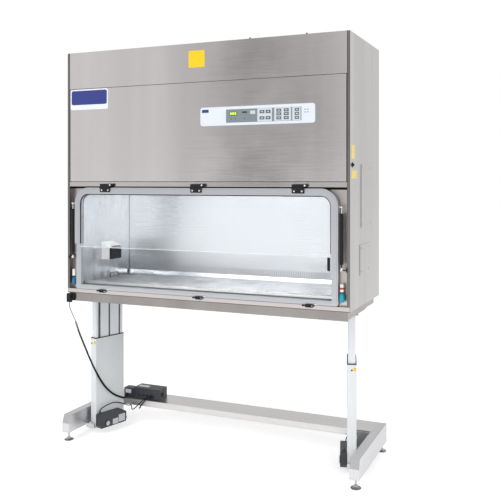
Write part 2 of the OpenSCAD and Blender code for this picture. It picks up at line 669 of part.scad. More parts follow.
// Two tubes in the trough with their end holders
module lamps() color([0.97, 0.97, 0.95]) at_front() {
    for (y = [74, 116]) {
        rod_x(-730, 730, y, ceiling_z + 34, 26, 32);
        for (x = [-746, 730]) block(x, x + 16, y - 14, y + 14, ceiling_z + 18, ceiling_z + 70);
    }
}

// ---------------------------------------------------------------- service panel
module service_panel() color([0.68, 0.66, 0.64]) at_front() {
    s = sheet;
    x1 = edge_x - 4;
    bearing = 9;
    difference() {
        union() {
            block(-x1, x1, 0, s, panel_z0, panel_z1);
            block(-x1, x1, s, 20, panel_z0, panel_z0 + s);
            pair() {
                block(x1 - s, x1, s, 20, panel_z0 + s, panel_z1 - 30);
                block(x1 - 12, x1, s - eps, bearing, panel_z1 - bearing, panel_z1);
            }
            for (z = [cab_z0 + 860, cab_z0 + 1020, panel_z1 - 40]) block(-x1 + 30, x1 - 30, s, 14, z, z + 24);
        }
        block(210, 680, -1, s + 1, cab_z0 + 1095, cab_z0 + 1180);
        pair() rod_x(x1 - 13, x1 + 1, panel_pin_y, panel_pin_z, panel_pin_d + 2 * run, 48);
    }
}

// Rounded keypad plate with raised key pads, a display window and the board behind
pad_x0 = 26;
pad_x1 = 768;
pad_z0 = cab_z0 + 1083;
pad_z1 = cab_z0 + 1197;
// Each key group: its field's ends, the keys' left edges and width, their lower edges and height
key_groups = [[407, 501, [422, 461], 31, [1111.5, 1148.5], 19],
    [515, 621, [529, 576], 31, [1108.5, 1132, 1154], 18],
    [629, 680, [644], 27, [1108, 1131, 1154.5], 18]];
module control_panel() color([0.92, 0.93, 0.94]) at_front() {
    board_z0 = cab_z0 + 1099;
    board_z1 = cab_z0 + 1179.5;
    front_plate(-3, 0) rounded_rect(pad_x0, pad_x1, pad_z0, pad_z1, 16);
    block(214, 676, -eps, 30, board_z0, board_z1 - 3);
    block(201, 685, -3.6, -3 + eps, board_z0, board_z1);
    for (g = key_groups) {
        block(g[0], g[1], -4, -3 + eps, board_z0 + 1.5, board_z1 - 1);
        for (x = g[2], z = g[4]) block(x, x + g[3], -4.6, -4 + eps, cab_z0 + z, cab_z0 + z + g[5]);
    }
}

// ---------------------------------------------------------------- window
// Fixed hinge halves on the rail, each with its clamp knob
leaf_t = 7;
leaf_w = 77;
leaf_h = 20;
screw_dx = 24;
leaf_gap = 7;
barrel_d = 12;
hinge_pin_d = 5;
knuckle = 24;
hinge_screw_z = hinge_z - 13.5;
module hinge_half(x, z0) front_plate(hinge_y, hinge_y + leaf_t)
    rounded_rect(x - leaf_w / 2, x + leaf_w / 2, z0, z0 + leaf_h, 6);
module hinge_brackets() color([0.06, 0.06, 0.07]) at_front() for (x = hinge_xs) {
    h = leaf_w / 2;
    knob_x = x + h + 6;
    knob_z = hinge_z + 19.5;
    difference() {
        union() {
            hinge_half(x, hinge_z + leaf_gap);
            block(x - h + 4, x + h - 4, frame_y - eps, 0, hinge_z + 10, hinge_z + leaf_gap + leaf_h - 1);
            for (dx = [-h, h - knuckle]) {
                rod_x(x + dx, x + dx + knuckle, hinge_y, hinge_z, barrel_d, 48);
                block(x + dx, x + dx + knuckle, hinge_y, frame_y - 0.6, hinge_z, hinge_z + leaf_gap + 6);
            }
        }
        rod_x(x - leaf_w, x + leaf_w, hinge_y, hinge_z, hinge_pin_d + 2 * run, 48);
    }
    // clamp knob at the upper right
    rod_y(knob_x, hinge_y - 8, frame_y, knob_z, 20, 32);
    rod_y(knob_x, frame_y - eps, 0, knob_z, 10, 24);
}
module hinge_leaves() color([0.06, 0.06, 0.07]) at_front() for (x = hinge_xs) {
    h = leaf_w / 2;
    k = h - knuckle - 0.4;
    difference() {
        hinge_half(x, hinge_z - leaf_gap - leaf_h);
        for (dx = [-screw_dx, screw_dx]) rod_y(x + dx, hinge_y - 1, frame_y + 1, hinge_screw_z, 6.4, 24);
    }
    block(x - k, x + k, hinge_y, frame_y, hinge_z - leaf_gap - 6, hinge_z);
    rod_x(x - k, x + k, hinge_y, hinge_z, barrel_d, 48);
    rod_x(x - h + 1, x + h - 1, hinge_y, hinge_z, hinge_pin_d, 48);
    for (dx = [-screw_dx, screw_dx]) rod_y(x + dx, hinge_y - 1, frame_y, hinge_screw_z, 6.3, 24);
}

// Inverted U of satin bar: top rail with round corners and two stiles that end at the split.
// Its outer part is deeper, and closes against the jamb
glass_y = -4;
glass_t = 6;
rebate_w = 26;
bar_in = window_x - bar_w;
bar_in_top = window_top - bar_w;
bar_in_r = corner_r - bar_w;
module bar_ring(outer_x, z0, z1, r, w) difference() {
    window_outline(outer_x, z0, z1, r);
    window_outline(outer_x - w, z0 - 1, z1 - w, r - w);
}
module window_frame() color([0.78, 0.79, 0.8]) at_front() difference() {
    groove = 12;
    bead_in = 10;
    union() {
        front_plate(frame_y, frame_y + bar_d) bar_ring(window_x, split_z + 1, window_top, corner_r, bar_w);
        front_plate(frame_y + bar_d - eps, bar_d - 1)
            bar_ring(window_x, split_z + 1, window_top, corner_r, rebate_w);
        // raised middle bead, interrupted at the hinges
        difference() {
            front_plate(frame_y - 2, frame_y + eps)
                bar_ring(window_x - bead_in, split_z + 1, window_top - bead_in, corner_r - bead_in, 18);
            for (x = hinge_xs) block(x - leaf_w / 2 - 1, x + leaf_w / 2 + 1, frame_y - 3, frame_y,
                hinge_z - leaf_gap - leaf_h - 1, window_top);
        }
    }
    // groove for the glass
    front_plate(glass_y - 0.2, glass_y + glass_t + 0.2)
        window_outline(bar_in + groove, split_z - 2, bar_in_top + groove, bar_in_r + groove);
}
// The pane runs up into the frame's groove, and its lower edge hangs free over the aperture
module window_glass() color([0.75, 0.85, 0.88, 0.35]) at_front()
    front_plate(glass_y, glass_y + glass_t) {
        window_outline(bar_in + 10, split_z + 1, bar_in_top + 10, bar_in_r + 10);
        translate([-lower_x + lower_w + 1, split_z - glass_drop])
            square([2 * (lower_x - lower_w - 1), glass_drop + 1 + eps]);
    }
// Glazing rubber along the inner edge of the upper frame
module window_gasket() color([0.04, 0.04, 0.04]) at_front()
    front_plate(frame_y + 1, glass_y - 0.3) bar_ring(bar_in, split_z + 1, bar_in_top, bar_in_r, 4);
// Rubber seal on the jamb, round the opening
module jamb_seal() color([0.04, 0.04, 0.04]) at_front() {
    w = 12;
    front_plate(bar_d, jamb_y) difference() {
        window_outline(lip_x + w, open_z0 - 8, open_top + w, open_r + w);
        window_outline(lip_x, open_z0, open_top, open_r);
    }
}

// Lower frame: U of satin bar round the open aperture, joined to the upper frame by two spigots
lower_w = 38;
rail_z0 = sill_z + 2;
rail_z1 = rail_z0 + 29;
module lower_frame() color([0.75, 0.76, 0.77]) at_front() {
    top = split_z - 1;
    difference() {
        union() {
            front_plate(0, 26) difference() {
                rounded_rect(-lower_x, lower_x, rail_z0, top + 40, 12);
                rounded_rect(-lower_x + lower_w, lower_x - lower_w, rail_z1, top + 60, 5);
            }
            // raised middle bead
            front_plate(-2, eps) difference() {
                rounded_rect(-lower_x + 10, lower_x - 10, rail_z0 + 9, top + 40, 8);
                rounded_rect(-lower_x + lower_w - 10, lower_x - lower_w + 10, rail_z1 - 9, top + 60, 5);
            }
        }
        block(-lower_x - 1, lower_x + 1, -3, 27, top, top + 61);
    }
    pair() block(lower_x - 26, lower_x - 12, 5, 12, top - eps, split_z + 1);
}

// Latches on the lower frame's bottom rail: a base that hangs in front of the sill strip, and a
// lever that turns on its pin
latch_y = -4.5;
latch_z = rail_z0 - 5;
latch_pin_d = 6;
module latch_bases() color([0.3, 0.3, 0.32]) at_front() for (x = latch_xs) {
    for (p = [[x - 12, x + 9], [x + 12, x + 30]]) block(p[0], p[1], latch_y, 0, rail_z0 + 1, rail_z0 + 8.5);
    block(x - 12, x + 9, latch_y, -0.6, latch_z - 7, rail_z0 + 2);
    rod_y(x, latch_y - 8, latch_y + eps, latch_z, latch_pin_d, 48);
}
module latch_lever(x) at_front() {
    y0 = latch_y - 8;
    y1 = latch_y - 0.4;
    half = 10;
    neck = 3;
    difference() {
        union() {
            front_plate(y0, y1) {
                translate([x, latch_z]) circle(r = half, $fn = 48);
                polygon([[x, latch_z - half], [x, latch_z + half], [x - 38, latch_z + half],
                    [x - 43, latch_z + neck], [x - 54, latch_z + neck], [x - 54, latch_z - neck],
                    [x - 43, latch_z - neck], [x - 38, latch_z - half]]);
                translate([x - 55.5, latch_z]) circle(r = 5.5, $fn = 32);
            }
            front_plate(y0 - 3, y0 + eps) rounded_rect(x - 36, x - 13, latch_z - half + 2, latch_z + half - 2, 3);
        }
        rod_y(x, y0 - 1, y1 + 1, latch_z, latch_pin_d + 2 * run, 48);
    }
}
module latch_left() color([0.06, 0.06, 0.07]) latch_lever(latch_xs[0]);
module latch_middle() color([0.06, 0.06, 0.07]) latch_lever(latch_xs[1]);
module latch_right() color([0.06, 0.06, 0.07]) latch_lever(latch_xs[2]);

// Gas struts: the cylinder turns on a stud in the side recess, and its rod ends in a
// ball stud at the window's stile
strut_body0 = strut_low + 32;
strut_body1 = strut_high - 37;
module strut_cylinder() at_front() difference() {
    union() {
        rod_z(strut_x, strut_y, strut_body0, strut_body1, 22, 48);
        rod_z(strut_x, strut_y, strut_low + 6, strut_body0 + eps, 9, 32);
        rod_x(strut_x - strut_eye / 2, strut_x + strut_eye / 2, strut_y, strut_low, 16, 48);
    }
    rod_z(strut_x, strut_y, strut_body0 + 12, strut_body1 - 12, 18, 48);
    rod_z(strut_x, strut_y, strut_body1 - 13, strut_body1 + 1, 8 + 2 * run, 48);
    rod_x(strut_x - strut_eye, strut_x + strut_eye, strut_y, strut_low, stud_d + 2 * run, 48);
}
module strut_rod() at_front() {
    rod_z(strut_x, strut_y, strut_body0 + 30, strut_high - 6, 8, 48);
    rod_x(strut_x - strut_eye / 2, strut_x + strut_eye / 2, strut_y, strut_high, 16, 48);
    rod_x(window_x + 0.5, strut_x, strut_y, strut_high, 8, 32);
}
module strut_cylinder_left() color([0.07, 0.07, 0.08]) flip(-1) strut_cylinder();
module strut_cylinder_right() color([0.07, 0.07, 0.08]) strut_cylinder();
module strut_rod_left() color([0.75, 0.75, 0.76]) flip(-1) strut_rod();
module strut_rod_right() color([0.75, 0.75, 0.76]) strut_rod();

// Service taps: white body on a stem from the jamb, coloured hand wheel below
tap_z1 = cab_z0 + 157;
tap_z0 = cab_z0 + 107;
tap_stem_d = 8;
module tap_bodies() color([0.93, 0.93, 0.93]) at_front() pair() {
    rod_z(tap_x, tap_y, tap_z0, tap_z1, 22, 48);
    rod_z(tap_x, tap_y, tap_z0 - 28, tap_z0 + eps, tap_stem_d, 48);
    rod_y(tap_x, tap_y, jamb_y, tap_z1 - 16, 14, 32);
}
// Hand wheel with eight finger grooves
module tap_knob() at_front() translate([tap_x, tap_y, tap_z0 - 52.4]) difference() {
    union() {
        cylinder(h = 4, d = 20, $fn = 48);
        translate([0, 0, 4 - eps]) linear_extrude(34)
            polygon([for (a = [0:7.5:352.5]) let (r = 13 + cos(8 * a)) [r * cos(a), r * sin(a)]]);
        translate([0, 0, 38 - 2 * eps]) cylinder(h = 14, d = 18, $fn = 48);
    }
    translate([0, 0, 22]) cylinder(h = 31, d = tap_stem_d + 2 * run, $fn = 48);
}
module tap_knob_left() color([0.1, 0.45, 0.7]) flip(-1) tap_knob();
module tap_knob_right() color([0.1, 0.6, 0.7]) tap_knob();

// Splash-proof outlets on both chamber side walls: a box with a sloped top, and a lid that
// flips up on two pins
socket_w = 136;
socket_out = 60;
lid_h = 79;
lid_t = 21;
lid_gap = 0.6;
lid_pin_d = 5;
ear_t = 6;
module socket_box(y0, z0) {
    x0 = chamber_x - socket_out;
    lid_z = z0 + lid_h + 8;
    pin_x = x0 - 9;
    side_face = [[x0, z0], [chamber_x, z0], [chamber_x, lid_z + 34], [x0 + 26, lid_z + 22], [x0, lid_z + 8]];
    difference() {
        translate([0, y0 + socket_w, 0]) rotate([90, 0, 0]) linear_extrude(socket_w) polygon(side_face);
        for (y = [y0 + 36, y0 + socket_w - 36]) {
            rod_x(x0 - 1, x0 + 14, y, z0 + lid_h / 2, 46, 48);
        }
    }
    for (y = [y0 + 4, y0 + socket_w - 4 - ear_t]) {
        translate([pin_x, y + ear_t, lid_z]) rotate([90, 0, 0]) cylinder(h = ear_t, d = 12, $fn = 32);
        block(pin_x, x0 + eps, y, y + ear_t, lid_z - 6, lid_z + 6);
    }
    rod_y(pin_x, y0 + 5, y0 + 4 + ear_t + 8, lid_z, lid_pin_d, 48);
    rod_y(pin_x, y0 + socket_w - 12 - ear_t, y0 + socket_w - 5, lid_z, lid_pin_d, 48);
}
module socket_lid(y0, z0) {
    x1 = chamber_x - socket_out - lid_gap;
    lid_z = z0 + lid_h + 8;
    pin_x = x1 + lid_gap - 9;
    a = y0 + 4 + ear_t + 0.5;
    b = y0 + socket_w - 4 - ear_t - 0.5;
    difference() {
        union() {
            translate([0, b, 0]) rotate([90, 0, 0]) linear_extrude(b - a) polygon([[x1, z0 + 1],
                [x1, lid_z - 5], [pin_x, lid_z], [x1 - lid_t + 4, lid_z - 3], [x1 - lid_t, lid_z - 12],
                [x1 - lid_t, z0 + 6], [x1 - lid_t + 5, z0 + 1]]);
            rod_y(pin_x, a, b, lid_z, 11, 48);
        }
        block(x1 - lid_t + 4, x1 + 1, a + 4, b - 4, z0 + 6, lid_z - 14);
        for (y = [[a - 1, a + 9], [b - 9, b + 1]]) rod_y(pin_x, y[0], y[1], lid_z, lid_pin_d + 2 * run, 48);
    }
}
left_socket = [282, cab_z0 + 196.5];
right_socket = [58, cab_z0 + 219];
module socket_boxes() color([0.9, 0.9, 0.88]) at_front() {
    flip(-1) socket_box(left_socket[0], left_socket[1]);
    socket_box(right_socket[0], right_socket[1]);
}
module socket_lid_left() color([0.08, 0.08, 0.09]) at_front() flip(-1)
    socket_lid(left_socket[0], left_socket[1]);
module socket_lid_right() color([0.08, 0.08, 0.09]) at_front()
    socket_lid(right_socket[0], right_socket[1]);

// Lift handset on a bracket at the left end of the apron
rocker_z = 973.5;
rocker_y = -22;
module handset() color([0.08, 0.08, 0.09]) at_front() {
    difference() {
        side_plate(-963, -933, [[-6, 944], [-24, 944], [-28, 948], [-28, 999], [-24, 1003], [-6, 1003]]);
        block(-958, -938, -29, -16, rocker_z - 23, rocker_z + 23);
    }
    rod_x(-959, -937, rocker_y, rocker_z, 3, 32);
    side_plate(-933 - eps, -915, [[1, 962], [-12, 966], [-12, 1000], [1, 1004]]);
}
module handset_rocker() color([0.25, 0.25, 0.27]) at_front() difference() {
    side_plate(-957, -939, [[-20, rocker_z - 21.5], [-28.5, rocker_z - 21.5], [-26.5, rocker_z],
        [-28.5, rocker_z + 21.5], [-20, rocker_z + 21.5]]);
    rod_x(-958, -938, rocker_y, rocker_z, 3 + 2 * run, 32);
}

foot_beam_left();
foot_beam_right();
stretcher();
levelling_foot_front_left();
levelling_foot_front_right();
levelling_foot_rear_left();
levelling_foot_rear_right();
outer_columns();
column_caps();
motor_housings();
control_box();
motor_cables();
handset_cord();
inner_columns();
support_frame();
base_pan();
side_panel_left();
side_panel_right();
side_covers();
back_panel();
roof_panel();
upper_fascia();
trim_rail();
jamb_plate();
chamber_walls();
filter_deck();
rear_baffle();
front_grille();
diffuser();
filters();
fan_housing();
fan_impeller();
lamps();
work_tray();
tray_handles();
service_panel();
control_panel();
hinge_brackets();
window_frame();
window_glass();
window_gasket();
hinge_leaves();
lower_frame();
jamb_seal();
latch_bases();
latch_left();
latch_middle();
latch_right();
strut_cylinder_left();
strut_cylinder_right();
strut_rod_left();
strut_rod_right();
tap_bodies();
tap_knob_left();
tap_knob_right();
socket_boxes();
socket_lid_left();
socket_lid_right();
handset();
handset_rocker();
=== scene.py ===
"""Looks for a stainless biosafety cabinet on a lifting stand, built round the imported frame."""
import math

import bpy
import numpy as np
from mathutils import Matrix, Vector


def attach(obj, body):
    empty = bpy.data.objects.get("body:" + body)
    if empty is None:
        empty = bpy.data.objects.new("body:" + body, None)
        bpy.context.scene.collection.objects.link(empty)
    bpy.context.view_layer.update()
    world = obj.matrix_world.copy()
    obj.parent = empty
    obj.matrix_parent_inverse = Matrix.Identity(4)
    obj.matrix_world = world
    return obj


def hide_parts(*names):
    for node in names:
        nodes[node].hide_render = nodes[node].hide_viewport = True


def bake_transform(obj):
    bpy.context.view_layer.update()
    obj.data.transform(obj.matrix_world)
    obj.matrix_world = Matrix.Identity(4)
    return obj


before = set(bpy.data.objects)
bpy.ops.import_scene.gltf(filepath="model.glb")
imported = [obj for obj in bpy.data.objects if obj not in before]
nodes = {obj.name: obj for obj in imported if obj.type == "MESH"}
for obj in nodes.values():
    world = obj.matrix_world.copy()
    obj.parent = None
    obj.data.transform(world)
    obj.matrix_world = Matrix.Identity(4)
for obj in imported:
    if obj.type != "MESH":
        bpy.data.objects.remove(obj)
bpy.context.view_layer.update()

# ------------------------------------------------------------------ measures of the cabinet, in metres
FRONT = -0.33725                  # the cabinet's front face in Y
HALF_WIDTH = 0.975                # half the cabinet's width
BASE = 1.0065                     # underside of the cabinet
TRAY_TOP = BASE + 0.062           # upper face of the work tray
TRAY_MM = 1000 * TRAY_TOP         # the same in millimetres, as the plates and routes below are given

# the stand's flat columns: the middle of their narrow front face in millimetres, and their toe-in
COLUMN_X = 924.7
COLUMN_Y = 218.7
TOE_IN = math.radians(15.9)

# the tray's rear lip: how far back it starts, in millimetres, and its lean for each one of height
LIP_DEPTH = 624
LIP_LEAN = 0.5


# ------------------------------------------------------------------ planes to lay things on
def at(x, y, z):
    """A point given in millimetres as X, depth behind the front face and height above the floor."""
    return (x / 1000.0, FRONT + y / 1000.0, z / 1000.0)


def on_front(across, up, out):
    """A plane facing the user: across along X, up the height, and out towards the user."""
    return np.stack(np.broadcast_arrays(across / 1000, FRONT - out / 1000, up / 1000), -1)


def on_side(back, up, out):
    """The right side: back from the front face, up the height, and out from the cabinet's middle."""
    return np.stack(np.broadcast_arrays(out / 1000, FRONT + back / 1000, up / 1000), -1)


def on_top(across, back, up):
    """A plane facing up: across along X, back from the front face, and up the height."""
    return np.stack(np.broadcast_arrays(across / 1000, FRONT + back / 1000, up / 1000), -1)


def by_column(side, x, y, z):
    """Column places: x across from its middle plane, y back from its front face, z the height. The
    column turns by the toe-in about the middle of that face."""
    gx = side * (COLUMN_X + x * np.cos(TOE_IN) - y * np.sin(TOE_IN))
    gy = COLUMN_Y + x * np.sin(TOE_IN) + y * np.cos(TOE_IN)
    return np.stack(np.broadcast_arrays(gx / 1000, FRONT + gy / 1000, z / 1000), -1)


def column_front(side):
    """The narrow front face of a column: across it, up it and out of it."""
    return lambda across, up, out: by_column(side, across, -out, up)


def motor_face(side):
    """The motor's wide face on the column's inner side: back along it, up it and out of it."""
    return lambda back, up, out: by_column(side, -out, back, up)


def slot_face(side, way):
    """The middle plane of an inner column, facing out or in as way says: back, up and out of it."""
    return lambda back, up, out: by_column(side, way * out, back, up)


def lip_plane(across, up, out):
    """The tray's rear lip, which leans back in proportion to the height above the tray."""
    return on_front(across, up, out - LIP_DEPTH - LIP_LEAN * (up - TRAY_MM))


# ------------------------------------------------------------------ mesh making
SMALLEST_CORNER = 0.02            # millimetres, so that a drawn-in corner never turns inside out
DOME_STEPS = (0, 25, 50, 70, 84)  # degrees up a pan head's curve
DOME_RIM = 0.3                    # share of a pan head's height that is its upright rim
SLEEVE_EDGE = 0.1                 # millimetres broken off a sleeve's ends
FIRST_SIDE = (0.31, 0.87, 0.38)   # a direction that no cord sets out along


def mesh_piece(name, points, faces, smooth=True):
    """An object at the origin from arrays of points and of faces."""
    mesh = bpy.data.meshes.new(name)
    points = np.asarray(points, float).reshape(-1, 3)
    mesh.from_pydata(points.tolist(), [], [list(map(int, face)) for face in faces])
    mesh.validate()
    if smooth:
        mesh.polygons.foreach_set("use_smooth", np.ones(len(mesh.polygons), bool))
    mesh.update()
    piece = bpy.data.objects.new(name, mesh)
    bpy.context.scene.collection.objects.link(piece)
    return piece


def quads(rows, cols):
    """Faces of a grid of rows by cols points, each row closed into a ring."""
    i = np.arange(rows - 1)[:, None]
    k = np.arange(cols)[None, :]
    k_next = (k + 1) % cols
    a = i * cols + k
    b = i * cols + k_next
    return np.stack([a, b, b + cols, a + cols], -1).reshape(-1, 4)


def spline(points, steps):
    """Catmull-Rom curve: each span blends its two ends and their neighbours by cubic weights."""
    p = np.asarray(points, float)
    q = np.vstack([p[:1], p, p[-1:]])
    t = np.linspace(0, 1, steps, endpoint=False)[None, :, None]
    a, b, c, d = q[:-3, None], q[1:-2, None], q[2:-1, None], q[3:, None]
    curve = 0.5 * (2 * b + (c - a) * t
                   + (2 * a - 5 * b + 4 * c - d) * t ** 2
                   + (3 * b - a - 3 * c + d) * t ** 3)
    return np.vstack([curve.reshape(-1, 3), p[-1:]])


def run_length(path):
    """Length of a path: the sum of the distances between its points."""
    return float(np.linalg.norm(np.diff(path, axis=0), axis=1).sum())


def even(path, count):
    """The same path with count points at equal distances along it."""
    s = np.r_[0, np.cumsum(np.linalg.norm(np.diff(path, axis=0), axis=1))]
    u = np.linspace(0, s[-1], count)
    return np.stack([np.interp(u, s, path[:, k]) for k in range(3)], 1)


def frames(path):
    """Two side vectors at each point, square to the path; the first is carried on from point to
    point by taking away its share along the path."""
    heading = np.gradient(path, axis=0)
    heading /= np.linalg.norm(heading, axis=1)[:, None]
    side = np.empty_like(heading)
    s = np.cross(heading[0], FIRST_SIDE)
    for i, direction in enumerate(heading):
        s = s - direction * (s @ direction)
        s /= np.linalg.norm(s)
        side[i] = s
    return side, np.cross(heading, side)


def circles(path, one, other, radius, sides):
    """A circle round each point of the path: the first side vector by the cosine of the angle plus
    the second by its sine, times the radius."""
    angle = np.linspace(0, 2 * np.pi, sides, endpoint=False)
    spread = one[:, None] * np.cos(angle)[None, :, None] + other[:, None] * np.sin(angle)[None, :, None]
    return path[:, None] + radius * spread


def tube(name, path, diameter, sides):
    """Round tube: a circle of the diameter carried along the path, closed by a point at each end."""
    ring = circles(path, *frames(path), diameter / 2, sides)
    n = len(path)
    points = np.vstack([ring.reshape(-1, 3), path[:1], path[-1:]])
    faces = [tuple(face) for face in quads(n, sides)]
    last = (n - 1) * sides
    faces += [(n * sides, (j + 1) % sides, j) for j in range(sides)]
    faces += [(n * sides + 1, last + j, last + (j + 1) % sides) for j in range(sides)]
    return mesh_piece(name, points, faces)


def closed_bead(path, radius, sides=8):
    """Points and faces of a round bead along a closed level path: a circle carried round and joined
    to its start. The path's direction at a point is that from the point before to the one after."""
    heading = np.roll(path, -1, 0) - np.roll(path, 1, 0)
    heading /= np.linalg.norm(heading, axis=1)[:, None]
    up = np.broadcast_to(np.array([0.0, 0.0, 1.0]), heading.shape)
    ring = circles(path, np.cross(heading, up), up, radius, sides)
    n = len(path)
    i, k = np.arange(n)[:, None], np.arange(sides)[None, :]
    i_next, k_next = (i + 1) % n, (k + 1) % sides
    corners = (i * sides + k, i * sides + k_next, i_next * sides + k_next, i_next * sides + k)
    return ring.reshape(-1, 3), np.stack(np.broadcast_arrays(*corners), -1).reshape(-1, 4)


def curly(centre, radius, pitch, per_turn=14, swell_turns=2.5):
    """Helix round a centre line: the offset turns once in each pitch, and its radius swells from
    nothing over the first turns and dies away over the last."""
    turns = run_length(centre) / pitch
    line = even(centre, int(turns * per_turn))
    one, other = frames(line)
    s = np.linspace(0, 1, len(line))
    angle = 2 * np.pi * turns * s
    swell = np.clip(np.minimum(s, 1 - s) * turns / swell_turns, 0, 1)[:, None]
    return line + radius * swell * (one * np.cos(angle)[:, None] + other * np.sin(angle)[:, None])


def skin(rings, offset):
    """Points and faces of a closed skin over rings of equal count, with a flat cap at each end; the
    faces count their points from the offset. They are turned over where the volume between them, a
    sixth of the sum of a . (b x c) over their triangles a, b, c, is negative."""
    rings = np.asarray(rings, float)
    n, m = rings.shape[:2]
    points = rings.reshape(-1, 3)
    grid = quads(n, m)
    first, last = np.arange(m)[::-1], np.arange(m) + (n - 1) * m
    a, b, c, d = (points[grid[:, k]] for k in range(4))
    triangles = [(a, b, c), (a, c, d)]
    for cap in (first, last):
        p = points[cap]
        triangles.append((np.broadcast_to(p[0], p[1:-1].shape), p[1:-1], p[2:]))
    volume = sum(np.einsum("ij,ij->i", a, np.cross(b, c)).sum() for a, b, c in triangles)
    faces = [tuple(face) for face in grid] + [tuple(first), tuple(last)]
    if volume < 0:
        faces = [face[::-1] for face in faces]
    return points, [tuple(int(i) + offset for i in face) for face in faces]


def joined(name, parts, smooth=False):
    """One object from several skins."""
    points, faces, count = [], [], 0
    for rings in parts:
        more_points, more_faces = skin(rings, count)
        points.append(more_points)
        faces += more_faces
        count += len(more_points)
    return mesh_piece(name, np.vstack(points), faces, smooth)


def rounded(left, right, low, high, radius, steps=5):
    """Rectangle with round corners, as quarter circles of the radius set at its four corners."""
    angle = np.linspace(0, np.pi / 2, steps)
    mid_u, mid_v = (left + right) / 2, (low + high) / 2
    half_u, half_v = (right - left) / 2 - radius, (high - low) / 2 - radius
    us, vs = [], []
    for k, (su, sv) in enumerate(((1, 1), (-1, 1), (-1, -1), (1, -1))):
        us.append(mid_u + su * half_u + radius * np.cos(angle + k * np.pi / 2))
        vs.append(mid_v + sv * half_v + radius * np.sin(angle + k * np.pi / 2))
    return np.concatenate(us), np.concatenate(vs)


def tile(plane, box, floor, top, radius, edge=0.25):
    """Rings of a thin plate on a plane: full outline up to the edge, then drawn in a little on top.
    The box is left, right, low and high; floor and top are how far the plate's faces stand out."""
    left, right, low, high = box
    rings = []
    for out, inset in ((floor, 0), (top - edge, 0), (top, edge)):
        corner = max(radius - inset, SMALLEST_CORNER)
        u, v = rounded(left + inset, right - inset, low + inset, high - inset, corner)
        rings.append(plane(u, v, np.full(len(u), float(out))))
    return rings


def patch(centre, half):
    """The box of a plate from its middle and half its sizes, left to right and low to high."""
    return (centre[0] - half[0], centre[0] + half[0], centre[1] - half[1], centre[1] + half[1])


def dome(plane, u, v, floor, height, radius, sides=20):
    """Rings of a pan head: over an upright rim the radius falls as the cosine of the angle, while
    the height rises as its sine."""
    angle = np.linspace(0, 2 * np.pi, sides, endpoint=False)
    rings = [plane(u + radius * np.cos(angle), v + radius * np.sin(angle), np.full(sides, float(floor)))]
    for rise in np.radians(DOME_STEPS):
        reach = radius * np.cos(rise)
        out = floor + height * (DOME_RIM + (1 - DOME_RIM) * np.sin(rise))
        rings.append(plane(u + reach * np.cos(angle), v + reach * np.sin(angle), np.full(sides, out)))
    return rings


def collar(x, y, low, high, radius, sides=40):
    """Rings of a short round sleeve that stands upright, with the edges of its ends broken."""
    angle = np.linspace(0, 2 * np.pi, sides, endpoint=False)
    narrow = radius - SLEEVE_EDGE
    stations = ((low, narrow), (low + SLEEVE_EDGE, radius), (high - SLEEVE_EDGE, radius), (high, narrow))
    return [on_top(x + r * np.cos(angle), y + r * np.sin(angle), np.full(sides, float(z)))
            for z, r in stations]


# ------------------------------------------------------------------ shader nodes
WHITE = (1.0, 1.0, 1.0, 1.0)


def feed(tree, socket, value):
    """Sets a socket to a plain number or colour, or links another node's output to it."""
    if isinstance(value, (int, float, tuple)):
        socket.default_value = value
    else:
        tree.links.new(value, socket)


def math_node(tree, operation, *values, clamp=False):
    """A Math node fed with the values; gives its output."""
    node = tree.nodes.new("ShaderNodeMath")
    node.operation = operation
    node.use_clamp = clamp
    for socket, value in zip(node.inputs, values):
        feed(tree, socket, value)
    return node.outputs[0]


def colour_mix(tree, factor, a, b, blend="MIX"):
    """A colour from a and b, mixed by the factor; gives the node's colour output."""
    node = tree.nodes.new("ShaderNodeMix")
    node.data_type = "RGBA"
    node.blend_type = blend
    ports = {port.name + port.type: port for port in node.inputs}
    feed(tree, ports["FactorVALUE"], factor)
    feed(tree, ports["ARGBA"], a)
    feed(tree, ports["BRGBA"], b)
    return [port for port in node.outputs if port.type == "RGBA"][0]


def map_range(tree, value, start, end, low, high):
    """Value mapped from start..end to low..high, and held there outside that range."""
    node = tree.nodes.new("ShaderNodeMapRange")
    for name, number in (("From Min", start), ("From Max", end), ("To Min", low), ("To Max", high)):
        node.inputs[name].default_value = number
    tree.links.new(value, node.inputs["Value"])
    return node.outputs["Result"]


def tone(r, g, b):
    """A colour given as 0 to 255 display values, turned into linear light by the sRGB curve."""
    c = np.array([r, g, b], float) / 255
    linear = np.where(c <= 0.04045, c / 12.92, ((c + 0.055) / 1.055) ** 2.4)
    return (*linear.tolist(), 1.0)


def scaled(colour, factor):
    """The colour made lighter or darker by a factor, no channel past 1."""
    return (*(min(channel * factor, 1) for channel in colour[:3]), 1.0)


def along(axis, lengthwise, crosswise):
    """Features a metre along X, Y and Z for a pattern drawn out along one of them."""
    return tuple(lengthwise if name == axis else crosswise for name in "XYZ")


